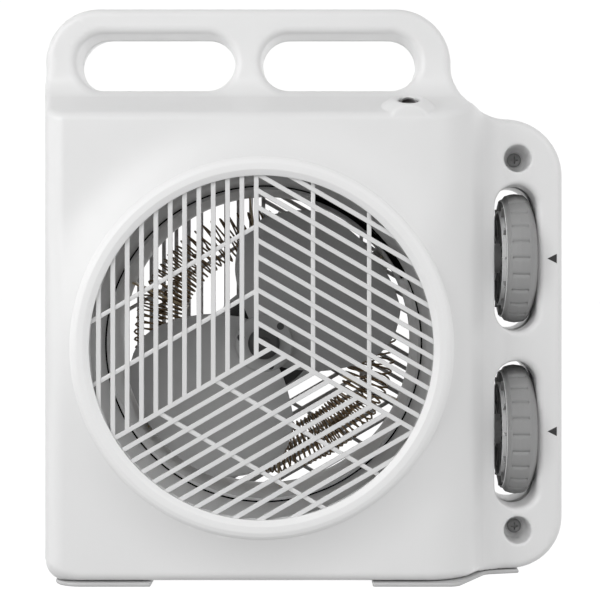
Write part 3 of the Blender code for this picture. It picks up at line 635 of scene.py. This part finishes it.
def make_grille(name, side):
    """A rim, and in each sector its own upright bars with two crossbars set back a little."""
    builder = Builder()
    outer, inner = GRILLE_FRONT, GRILLE_FRONT - BAR_DEPTH
    rim = rounded([(GRILLE_R - RIM, inner, 0.3), (GRILLE_R, inner, 0.3), (GRILLE_R, outer, 0.5),
                   (GRILLE_R - RIM, outer - 0.1, 0.9)])
    builder.turned([(r, side * y) for r, y in rim], fan_frame, 192)
    reach = GRILLE_R - RIM / 2
    for turn in range(SECTORS):
        for number in range(BAR_COUNT):
            u = BAR_FIRST + BAR_PITCH * number
            if u > reach - 1.0:
                continue
            low = -u * math.sin(LEAN) / math.cos(LEAN)
            bar(builder, (u, low - (BAR_FIRST - 0.2)), (u, math.sqrt(reach ** 2 - u ** 2)), BAR_WIDTH,
                -outer, -inner - 0.15, -side, turn)
        for step in range(CROSSBARS):
            away = CROSS_FIRST + CROSS_STEP * step
            bar(builder, (BAR_FIRST, cross_height(BAR_FIRST, away)), cross_end(away, reach),
                CROSS_WIDTH, -outer + CROSS_BACK, -inner, -side, turn)
    builder.piece(name + "_bars", "casing", "grille_white", name, crease=40.0)


# ---- Air path ----

def swept(profile, start, end, count):
    """Rings of a profile of (radius, along), swept about the fan's axis between two angles in degrees."""
    rings = []
    for i in range(count + 1):
        angle = math.radians(start + (end - start) * i / count)
        rings.append([fan_frame(y, r * math.cos(angle), r * math.sin(angle)) for r, y in profile])
    return rings


WINDOW = (25.0, 71.0)                # the shroud's cut-out, from angle to angle in degrees
SHROUD_STEPS = 240


def make_outlet_cone():
    cone = Builder()
    profile = rounded([
        (71.0, -18.2, 0.1), (72.9, -42.3, 0.4), (77.0, -42.3, 0.5), (77.0, -44.3, 0.5), (73.1, -44.3, 0.3),
        (73.1, -48.5, 0.3), (71.9, -48.5, 0.4), (69.6, -18.2, 0.1),
    ], 3)
    cone.turned(profile, fan_frame, 192)
    cone.piece("outlet_cone_moulded", "casing", "cone_gray", "outlet_cone", weld=0.0)


def make_shroud():
    """The tunnel round the fan, cut short behind where the window is."""
    shroud = Builder()
    full = [(74.0, -1.0), (74.0, -2.8), (67.0, -2.8), (69.1, -17.5), (67.8, -17.5), (65.3, -1.0)]
    back = [(74.0, -1.0), (74.0, -2.8), (67.0, -2.8), (67.2, -4.5), (65.83, -4.5), (65.3, -1.0)]
    for start, end, profile in ((WINDOW[1], WINDOW[0] + 360.0, full), (WINDOW[0], WINDOW[1], back)):
        count = max(8, round(SHROUD_STEPS * (end - start) / 360.0))
        shroud.rings(swept(profile, start, end, count))
    shroud.piece("fan_shroud_moulded", "casing", "cone_gray", "fan_shroud")


def make_window_pocket():
    """A near-black trough behind the window, closed at both ends: painted shade for the dark inside of the
    casing.
    """
    pocket = Builder()
    trough = [(69.1, -17.3), (72.0, -17.3), (72.0, -3.1), (67.5, -3.1), (67.5, -3.9), (71.2, -3.9),
              (71.2, -16.5), (69.1, -16.5)]
    pocket.rings(swept(trough, WINDOW[0] - 1.5, WINDOW[1] + 1.5, 24))
    for end in (WINDOW[0] - 2.3, WINDOW[1] + 1.5):
        pocket.rings(swept(trough[:4], end, end + 0.8, 1))
    pocket.piece("shroud_window_pocket", "casing", "control_black", material=SHADE_BLACK, weld=0.0)


def make_duct_seam():
    """A near-black ring in the gap between the cone and the shroud: painted shade for the gap's shadow."""
    seam = Builder()
    seam.turned([(69.0, -17.9), (70.9, -17.9), (70.9, -16.9), (69.0, -16.9)], fan_frame, 192)
    seam.piece("duct_seam", "casing", "control_black", material=SHADE_BLACK, weld=0.0)


def make_heater_ring():
    def ring_frame(along, u, v):
        return (AXIS_X + 0.5 + u, along, AXIS_Z + 0.35 + v)

    ring = Builder()
    profile = rounded([
        (66.0, -0.7, 0.0), (74.0, -0.7, 0.2), (74.0, 0.9, 0.2), (66.6, 0.9, 0.4), (66.1, 6.0, 1.0),
        (66.1, 14.9, 0.2), (65.5, 14.9, 0.2), (65.5, 6.0, 1.0),
    ], 3)
    ring.turned(profile, ring_frame, 192)
    ring.piece("heater_ring_pressed", "casing", "zinc_sheet", "heater_ring",
               material=MATERIALS["cone_gray"])


def make_window_rib():
    rib = Builder()
    rib.rings(swept([(69.2, -8.6), (70.6, -8.2), (70.6, -7.4), (69.2, -7.8)], 44.0, WINDOW[1] - 0.5, 16))
    rib.piece("shroud_window_rib", "casing", "control_black", material=MATERIALS["hub_black"], weld=0.0)


# ---- Fan ----

HUB_R = 12.9
BLADE_STATIONS = (
    # radius, leading edge and trailing edge in degrees
    (11.8, 122.0, 302.0), (20.0, 144.0, 298.0), (34.5, 160.0, 292.0), (47.0, 170.5, 283.0),
    (54.5, 177.0, 273.0), (60.0, 186.0, 259.0), (62.8, 194.0, 249.0),
)
BLADE_Y, BLADE_RISE, BLADE_T = -10.5, 4.5, 1.4
BLADE_ROWS, BLADE_STRIPS = 27, 41
HUB_HOLES, HUB_HOLE_PLACE, HUB_HOLE_FIRST = 3, 10.5, 46.0


def blade_rows(rows, strips):
    """A blade's middle surface, with stations smoothed between the given ones."""
    table = np.array(BLADE_STATIONS)
    radii = np.linspace(table[0, 0], table[-1, 0], rows)
    lead = np.interp(radii, table[:, 0], table[:, 1])
    trail = np.interp(radii, table[:, 0], table[:, 2])
    for _ in range(3):
        lead[1:-1] = (lead[:-2] + 2 * lead[1:-1] + lead[2:]) / 4
        trail[1:-1] = (trail[:-2] + 2 * trail[1:-1] + trail[2:]) / 4
    share = np.linspace(0.0, 1.0, strips)
    angle = np.radians(lead[:, None] + (trail - lead)[:, None] * share[None, :])
    rise = BLADE_RISE * np.cos(math.pi * share)[None, :] * np.minimum(1.0, radii / 30.0)[:, None]
    return radii[:, None], angle, BLADE_Y + rise


def blade_sides(turn):
    """The points of a blade's two faces, which close in on each other towards its edges."""
    radii, angle, depth = blade_rows(BLADE_ROWS, BLADE_STRIPS)
    across = np.linspace(0, 1, BLADE_STRIPS)[None, :]
    along = np.linspace(0, 1, BLADE_ROWS)[:, None]
    edge = np.minimum(np.minimum(across, 1 - across) * 60.0, (1 - along) * 40.0)
    thin = 0.35 + 0.65 * np.sqrt(np.clip(edge, 0.0, 1.0))
    x, z = AXIS_X + radii * np.cos(angle + turn), AXIS_Z + radii * np.sin(angle + turn)
    sides = [np.stack([x, depth + offset * thin, z], -1) for offset in (-BLADE_T / 2, BLADE_T / 2)]
    return np.concatenate([side.reshape(-1, 3) for side in sides])


def blade_faces():
    """The faces of a blade's two sides, and those of its border."""
    rows, strips = BLADE_ROWS, BLADE_STRIPS
    half = rows * strips
    faces = []
    for i in range(rows - 1):
        for j in range(strips - 1):
            a, b = i * strips + j, i * strips + j + 1
            c, d = b + strips, a + strips
            faces += [(a, b, c, d), (half + a, half + d, half + c, half + b)]
    border = list(range(strips)) + [i * strips + strips - 1 for i in range(1, rows)]
    border += [(rows - 1) * strips + j for j in range(strips - 2, -1, -1)]
    border += [i * strips for i in range(rows - 2, 0, -1)]
    for one, two in zip(border, border[1:] + border[:1]):
        faces.append((one, half + one, half + two, two))
    return faces


def make_fan_rotor():
    builder = Builder()
    for turn in (0.0, math.pi):
        builder.add(blade_sides(turn).tolist(), blade_faces())
    hub = rounded([(HUB_R, -7.5, 0.3), (HUB_R, -13.5, 1.0), (2.1, -13.5, 0.0), (2.1, -3.0, 0.0),
                   (6.0, -3.0, 0.5), (6.0, -7.5, 0.8)], 4)
    builder.turned(hub, fan_frame, 96)
    builder.piece("fan_rotor_moulded", "fan", "fan_gray", "fan_rotor", crease=34.0)


def make_fan_cap():
    cap = Builder()
    cap.turned([(0.0, -13.8), (7.0, -13.8), (7.0, -15.6), (6.8, -16.3), (6.2, -17.0), (5.2, -17.5),
                (3.0, -17.8), (2.6, -17.4), (0.0, -17.3)], fan_frame, 64)
    cap.piece("fan_cap_moulded", "fan", "hub_black", "fan_cap", crease=30.0)


def make_hub_holes():
    """The hub's small dark holes, as thin discs on its face."""
    profile = [(0.0, -13.56), (1.5, -13.56), (1.6, -13.6), (1.6, -13.0), (0.0, -13.0)]
    for number in range(HUB_HOLES):
        angle = math.radians(HUB_HOLE_FIRST + 120.0 * number)

        def hole_frame(along, u, v, a=angle):
            return fan_frame(along, HUB_HOLE_PLACE * math.cos(a) + u, HUB_HOLE_PLACE * math.sin(a) + v)

        hole = Builder()
        hole.turned(profile, hole_frame, 32)
        hole.piece(f"hub_hole_{number + 1}", "fan", "hub_black", crease=30.0)


# ---- Heating coils ----

COILS = {
    # middle radius, half size out from the axis, place along it, and column of the pitch table
    "heating_coil_inner": (44.9, 5.6, 5.2, 1),
    "heating_coil_outer": (53.4, 6.0, 7.2, 2),
}
COIL_HALF_Y = 4.1
WIRE_R = 0.46
COIL_PITCH = (
    # angle in degrees and the distance from turn to turn there, inner and outer, long where the wire sags
    (0.0, 4.4, 4.6), (20.0, 3.2, 3.4), (60.0, 2.6, 2.8), (85.0, 3.4, 3.6), (100.0, 4.2, 4.3),
    (115.0, 3.6, 3.9), (135.0, 2.3, 2.8), (160.0, 1.9, 3.0), (175.0, 1.9, 3.3), (200.0, 1.9, 3.0),
    (250.0, 2.1, 2.4), (290.0, 2.1, 2.2), (320.0, 2.1, 2.3), (338.0, 2.5, 2.6), (350.0, 4.0, 4.0),
    (360.0, 4.4, 4.6),
)
# Angles in degrees, and how far the turns sag there
SAG = ((0.0, 80.0, 100.0, 125.0, 150.0, 335.0, 350.0, 360.0), (0.5, 0.4, 1.0, 0.8, 0.0, 0.0, 0.5, 0.5))


def make_coils():
    pitch_table = np.array(COIL_PITCH)
    for name, (radius, half, coil_y, column) in COILS.items():
        angles = np.linspace(0, 2 * math.pi, 7200)
        pitch = np.interp(np.degrees(angles), pitch_table[:, 0], pitch_table[:, column])
        pitch *= 1.0 + 0.10 * np.sin(angles * 11.0 + radius)
        turns = np.concatenate([[0.0], np.cumsum(np.diff(angles) * radius / pitch[1:])])
        total = round(turns[-1])
        turns *= total / turns[-1]
        steps = 14
        phase = np.arange(total * steps) / steps
        place = np.interp(phase, turns, angles)
        sag = np.interp(np.degrees(place), SAG[0], SAG[1])
        tilt = 0.8 - 1.2 * sag + 0.30 * np.sin(place * 17.0) + 0.20 * np.sin(place * 41.0 + 1.0)
        reach = 1.0 + 0.04 * np.sin(place * 29.0)
        around = 2 * math.pi * phase
        r = radius + half * reach * np.cos(around) + 0.3 * np.sin(place * 7.0)
        y = coil_y + COIL_HALF_Y * reach * np.sin(around)
        a = place + (np.sin(around) * tilt + np.cos(around) * 1.6 * sag) / radius
        line = np.stack([AXIS_X + r * np.cos(a), y, AXIS_Z + r * np.sin(a)], -1)
        tangent = np.roll(line, -1, 0) - np.roll(line, 1, 0)
        tangent /= np.linalg.norm(tangent, axis=1, keepdims=True)
        outward = np.stack([np.cos(around) * np.cos(a), np.sin(around), np.cos(around) * np.sin(a)], -1)
        outward -= (outward * tangent).sum(1, keepdims=True) * tangent
        outward /= np.linalg.norm(outward, axis=1, keepdims=True)
        other = np.cross(tangent, outward)
        count = 6
        rings = []
        for k in range(count):
            spin = 2 * math.pi * k / count
            rings.append(line + WIRE_R * (outward * math.cos(spin) + other * math.sin(spin)))
        ring_points = np.stack(rings, 1)
        builder = Builder()
        builder.rings([ring.tolist() for ring in ring_points], closed_along=True)
        builder.piece(name + "_wire", "casing", "nichrome", name, crease=0.0, weld=0.0)


# ---- Motor ----

MOTOR_RIBS = 6


def make_motor_front():
    """The motor's front cap: a stepped face, a bearing seat and raised ribs."""
    front = Builder()
    profile = rounded([(21.8, 4.0, 0.2), (21.8, 1.3, 1.1), (15.5, 1.3, 0.5), (14.5, 2.0, 0.5),
                       (9.6, 2.0, 0.5), (9.0, 1.4, 0.4), (5.2, 1.4, 0.2), (5.2, 4.0, 0.2)], 4)
    front.turned(profile, fan_frame, 96)
    for number in range(MOTOR_RIBS):
        angle = 2 * math.pi * number / MOTOR_RIBS
        rings = []
        for r in (9.2, 15.0):
            ring = []
            for u, y in ((-1.0, 2.3), (-1.0, 1.5), (1.0, 1.5), (1.0, 2.3)):
                ring.append(fan_frame(y, r * math.cos(angle) - u * math.sin(angle),
                                      r * math.sin(angle) + u * math.cos(angle)))
            rings.append(ring)
        front.rings(rings)
    front.piece("motor_front_cap_pressed", "casing", "motor_black", "motor_front_cap")


# ---- Thumbwheels ----

DRUM_R = 21.1
GROOVES, GROOVE_DEPTH = 24, 0.75
GROOVE_SPAN = (90.5, 98.0)
GROOVE_STEPS = (-5.6, -3.6, -2.4, -1.6, -1.0, -0.5, 0.0, 0.5, 1.0, 1.6, 2.4, 3.6, 5.6)
RIBS, RIB_HALF, RIB_DEEP = 12, 0.45, 92.0
# Faces left of this x get the lighter copy of the wheel's grey, as painted light
WEB_PAINTED_LIGHT_EDGE = 88.6
TREAD = (
    # radius, x, rounding: the left lip, the crowned tread and the right flank
    (25.3, 88.3, 0.2), (26.3, 88.1, 0.3), (26.5, 89.2, 0.3), (27.9, 90.2, 0.3), (28.05, 90.4, 0.0),
    (28.1, 90.6, 0.0), (28.65, 92.3, 1.0), (28.95, 94.3, 2.0), (28.65, 96.8, 1.0), (28.45, 97.9, 0.0),
    (28.4, 98.05, 0.0), (28.2, 98.5, 0.2), (27.2, 99.5, 0.8), (25.5, 100.5, 1.0), (22.3, 102.1, 0.8),
    (18.0, 102.1, 0.6),
)


def make_wheel(control, center_z):
    """A thumbwheel: pads around a crowned tread, a ribbed web and a drum on its left, and a hub."""
    def frame_of(along, u, v):
        return (along, -u, center_z + v)

    builder = Builder()
    profile = rounded(
        [(DRUM_R, 86.8, 0.25), (DRUM_R, 88.7, 0.2), (24.6, 88.7, 0.2), (24.6, 90.2, 0.1),
         (25.3, 90.2, 0.1)]
        + list(TREAD)
        + [(16.5, 101.0, 0.6), (6.0, 101.0, 0.8), (6.0, 101.6, 0.3), (0.0, 101.6, 0.0),
           (0.0, 97.9, 0.0), (4.6, 97.9, 0.0), (4.6, 84.3, 0.2), (6.6, 84.3, 0.3), (6.6, 91.4, 0.5),
           (DRUM_R - 0.8, 91.4, 0.5), (DRUM_R - 0.8, 86.8, 0.25)],
        3,
    )
    rings = []
    angles = [(number * 360.0 / GROOVES + step, step)
              for number in range(GROOVES) for step in GROOVE_STEPS]
    for degrees, step in angles:
        angle = math.radians(degrees)
        cut = GROOVE_DEPTH * math.exp(-abs(step / 1.25) ** 1.5)
        ring = []
        for r, along in profile:
            reach = r - cut if GROOVE_SPAN[0] < along < GROOVE_SPAN[1] and r > 28.0 else r
            ring.append(frame_of(along, reach * math.cos(angle), reach * math.sin(angle)))
        rings.append(ring)
    builder.hoop(rings)
    for number in range(RIBS):
        angle = 2 * math.pi * number / RIBS
        for near, far, low in ((DRUM_R - 0.2, 25.6, 87.4), (6.2, DRUM_R - 0.6, 88.0)):
            corners = ((-RIB_HALF, RIB_DEEP), (-RIB_HALF, low), (RIB_HALF, low), (RIB_HALF, RIB_DEEP))
            builder.rings([[frame_of(x, r * math.cos(angle) - u * math.sin(angle),
                                     r * math.sin(angle) + u * math.cos(angle)) for u, x in corners]
                           for r in (near, far)])
    obj = builder.make(control + "_wheel_moulded", MATERIALS["wheel_gray"], 36.0, 0.001)
    # Painted light: the web and drum on the wheel's left get the lighter copy of its grey
    obj.data.materials.append(WEB_PAINTED_LIGHT)
    for face in obj.data.polygons:
        if face.center.x < WEB_PAINTED_LIGHT_EDGE * MM:
            face.material_index = 1
    place_piece(obj, control, "wheel_gray", control + "_wheel")


MARK_SHIFT = {"thermostat": -0.25, "selector": 0.8}


def make_marks():
    """The pointer mark beside each wheel, printed on the flange."""
    for control, center_z in WHEEL_Z.items():
        y = -FLANGE - 0.03
        tip, base, half = 106.7, 110.8, 2.05
        level = center_z + MARK_SHIFT[control]
        outline = [(tip, level), (base, level - half), (base, level + half)]
        builder = Builder()
        builder.rings([[(x, y - 0.05, z) for x, z in outline], [(x, y + 0.25, z) for x, z in outline]])
        builder.piece(control + "_mark", "casing", "hub_black", material=MARK, crease=30.0)


# ---- Screws, lamp, feet ----

SCREW_STEPS = 48
HEAD = ((2.95, 2.2), (3.1, 2.05), (3.1, 1.25), (2.95, 0.7), (2.55, 0.3), (2.0, 0.1), (1.75, 0.06))
CROSS_ARM, CROSS_HALF, CROSS_MIDDLE = 1.62, 0.30, 0.42


def cross_radius(angle):
    """Half the width of the screw's cross recess in a direction from its middle."""
    narrow = min(abs(math.cos(angle)), abs(math.sin(angle)))
    return max(min(CROSS_ARM, CROSS_HALF / max(narrow, 1e-6)), CROSS_MIDDLE)


def make_screws():
    """A screw's skin from the tip of its shank over its head into the cross recess."""
    angles = [2 * math.pi * i / SCREW_STEPS for i in range(SCREW_STEPS)]
    for number in range(1, len(FLANGE_SCREWS) + len(BODY_SCREWS) + 1):
        low, high = (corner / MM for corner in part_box(f"case_screw_{number}"))
        x, z = (low.x + high.x) / 2, (low.z + high.z) / 2
        front = number <= len(FLANGE_SCREWS)
        head = low.y if front else high.y
        into = 1.0 if front else -1.0
        length = high.y - low.y
        rings = []
        for r, along in ((1.2, length - 0.05), (1.5, length - 1.0), (1.5, 2.2)) + HEAD:
            rings.append([(along, r * math.cos(angle), r * math.sin(angle)) for angle in angles])
        for along, shrink in ((0.06, 1.0), (1.25, 0.72)):
            arms = [(cross_radius(angle) * shrink, angle) for angle in angles]
            rings.append([(along, arm * math.cos(angle), arm * math.sin(angle)) for arm, angle in arms])
        builder = Builder()
        builder.rings([[(x + u, head + into * along, z + v) for along, u, v in ring] for ring in rings])
        builder.piece(f"case_screw_{number}_head", "casing", "steel", f"case_screw_{number}",
                      crease=34.0, weld=0.0)


def lamp_frame(along, u, v):
    """Along the pilot lamp's axis, which stands square to the shoulder."""
    s, c = math.sin(LAMP_TILT), math.cos(LAMP_TILT)
    return (LAMP[0] + u, -LAMP[1] - along * s - v * c, LAMP[2] + along * c - v * s)


def make_lamp():
    lens = Builder()
    profile = [(0.0, 3.9), (1.4, 3.75), (2.4, 3.35), (3.1, 2.75), (3.35, 2.3), (3.6, 2.1), (4.25, 2.05),
               (4.3, 1.9), (4.3, -5.5), (0.0, -5.5)]
    lens.turned(profile, lamp_frame, 64)
    lens.piece("indicator_lens_moulded", "casing", "lens", "indicator_lens", crease=40.0)


def inset(outline, amount):
    """A closed outline, counterclockwise, moved in by an amount."""
    result = []
    for i, point in enumerate(outline):
        here = Vector(point)
        ahead, behind = Vector(outline[(i + 1) % len(outline)]) - here, here - Vector(outline[i - 1])
        along = ahead.normalized() + behind.normalized()
        result.append(tuple(here + Vector((-along.y, along.x)).normalized() * amount))
    return result


def make_feet():
    """Rubber strips under the bulge: the right one follows the step down to the flange."""
    front = -47.4
    outlines = {
        "left_foot": [(-106.0, front, 12.0), (-64.4, front, 0.8), (-63.4, -front, 0.8),
                      (-106.0, -front, 12.0)],
        "right_foot": [(29.0, front, 0.8), (65.0, front, 6.0), (79.5, -21.0, 6.0), (94.5, -17.5, 1.0),
                       (94.5, 17.5, 1.0), (79.5, 21.0, 6.0), (65.0, -front, 6.0), (29.0, -front, 0.8)],
    }
    for name, corners in outlines.items():
        outline = rounded(corners, 8)
        builder = Builder()
        builder.rings([[(x, y, z) for x, y in inset(outline, step)]
                       for z, step in ((0.0, 0.35), (0.3, 0.06), (0.8, 0.0), (1.2, 0.08), (1.6, 0.45))])
        builder.piece(name + "_moulded", "casing", "foot_gray", name, crease=40.0)


def soften(name, width, segments=3):
    """Rounds a CAD node's edges where its own shape stays."""
    bevel = frame["nodes"][name].modifiers.new("edges", "BEVEL")
    bevel.width = width * MM
    bevel.segments = segments
    bevel.limit_method = "ANGLE"
    bevel.angle_limit = math.radians(40)
    bevel.harden_normals = True


def finish_cad_nodes():
    for name, obj in frame["nodes"].items():
        if obj.hide_render:
            continue
        slot = obj.data.materials[0].name.split(".")[0]
        for index in range(len(obj.data.materials)):
            obj.material_slots[index].link = "OBJECT"
            obj.material_slots[index].material = MATERIALS[slot]
    for name in ("thermostat_body", "selector_body", "terminal_block"):
        soften(name, 0.8)
    for name in ("cord_gland", "motor_bracket", "motor_can"):
        soften(name, 0.25, 2)


# ---- Stage ----

SKY = {"even": 0.0, "up": 0.0, "down": 0.18, "left": 0.0, "right": 0.70, "front": 0.22, "back": 1.05}
SKY_SIDES = {"up": (2, 1.0), "down": (2, -1.0), "left": (0, -1.0), "right": (0, 1.0), "front": (1, -1.0),
             "back": (1, 1.0)}


def make_stage():
    scene = bpy.context.scene
    floor_mesh = bpy.data.meshes.new("floor")
    size = 6.0
    floor_mesh.from_pydata([(-size, -size, 0), (size, -size, 0), (size, size, 0), (-size, size, 0)], [],
                           [(0, 1, 2, 3)])
    floor = add_object("floor", floor_mesh)
    made = bpy.data.materials.new("floor_pale")
    made.use_nodes = True
    tree = made.node_tree
    tree.nodes.clear()
    diffuse = node(tree, "ShaderNodeBsdfDiffuse", Color=(0.30, 0.30, 0.30, 1.0))
    glow = node(tree, "ShaderNodeEmission", Color=(1.0, 1.0, 1.0, 1.0), Strength=0.90)
    both = node(tree, "ShaderNodeAddShader", i0=diffuse.outputs[0], i1=glow.outputs[0])
    node(tree, "ShaderNodeOutputMaterial", Surface=both.outputs[0])
    floor_mesh.materials.append(made)
    floor.visible_diffuse = False
    floor.visible_glossy = False

    world = bpy.data.worlds.new("studio")
    scene.world = world
    world.use_nodes = True
    tree = world.node_tree
    tree.nodes.clear()
    place = node(tree, "ShaderNodeTexCoord").outputs["Generated"]
    parts = node(tree, "ShaderNodeSeparateXYZ", Vector=place).outputs
    total = SKY["even"]
    for side, (axis, sign) in SKY_SIDES.items():
        along = node(tree, "ShaderNodeMath", _operation="MULTIPLY", i0=parts[axis], i1=sign).outputs[0]
        along = node(tree, "ShaderNodeMath", _operation="MAXIMUM", i0=along, i1=0.0).outputs[0]
        total = node(tree, "ShaderNodeMath", _operation="MULTIPLY_ADD", i0=along, i1=SKY[side],
                     i2=total).outputs[0]
    ray = node(tree, "ShaderNodeLightPath").outputs["Is Camera Ray"]
    seen = node(tree, "ShaderNodeBackground", Color=(1.0, 1.0, 1.0, 1.0), Strength=1.05)
    felt = node(tree, "ShaderNodeBackground", Color=(1.0, 1.0, 1.0, 1.0), Strength=total)
    both = node(tree, "ShaderNodeMixShader", i0=ray, i1=felt.outputs[0], i2=seen.outputs[0])
    node(tree, "ShaderNodeOutputWorld", Surface=both.outputs[0])
    scene.view_settings.view_transform = "Standard"
    scene.view_settings.look = "None"


def add_light(name, place, target, size, power):
    data = bpy.data.lights.new(name, "AREA")
    data.shape = "RECTANGLE"
    data.size, data.size_y = size
    data.energy = power
    light = add_object(name, data)
    light.location = place
    light.rotation_euler = (Vector(target) - Vector(place)).to_track_quat("-Z", "Y").to_euler()


def make_lights():
    """Four soft boxes: two on the left, one on the right, and a weak one above."""
    aim = (0.0, 0.0, 0.12)
    add_light("left_front", (-1.2, -1.4, 0.78), aim, (1.2, 1.4), 19.8)
    add_light("left", (-1.8, -0.2, 0.3), aim, (1.4, 1.4), 13.0)
    add_light("right_front", (1.2, -1.4, 0.78), aim, (1.2, 1.4), 6.4)
    add_light("above_front", (-0.1, -1.3, 1.2), aim, (1.6, 0.4), 1.9)


def make_camera():
    """The photograph's view: level, along +Y, 650 mm in front of the raised ring."""
    data = bpy.data.cameras.new("camera")
    data.sensor_width = 36.0
    data.lens = 93.7
    data.shift_x, data.shift_y = -0.0167, -0.0533
    data.clip_start, data.clip_end = 0.01, 30.0
    camera = add_object("camera", data)
    camera.location = (0.00265, -0.704, 0.1341)
    camera.rotation_euler = (math.radians(90), 0.0, 0.0)
    bpy.context.scene.camera = camera


make_camera()
make_stage()
make_lights()
make_shells()
make_grille("front_grille", -1)
make_grille("rear_grille", 1)
make_outlet_cone()
make_shroud()
make_window_pocket()
make_duct_seam()
make_heater_ring()
make_window_rib()
make_fan_rotor()
make_fan_cap()
make_hub_holes()
make_coils()
make_motor_front()
for control_name, wheel_z in WHEEL_Z.items():
    make_wheel(control_name, wheel_z)
make_marks()
make_screws()
make_lamp()
make_feet()
finish_cad_nodes()
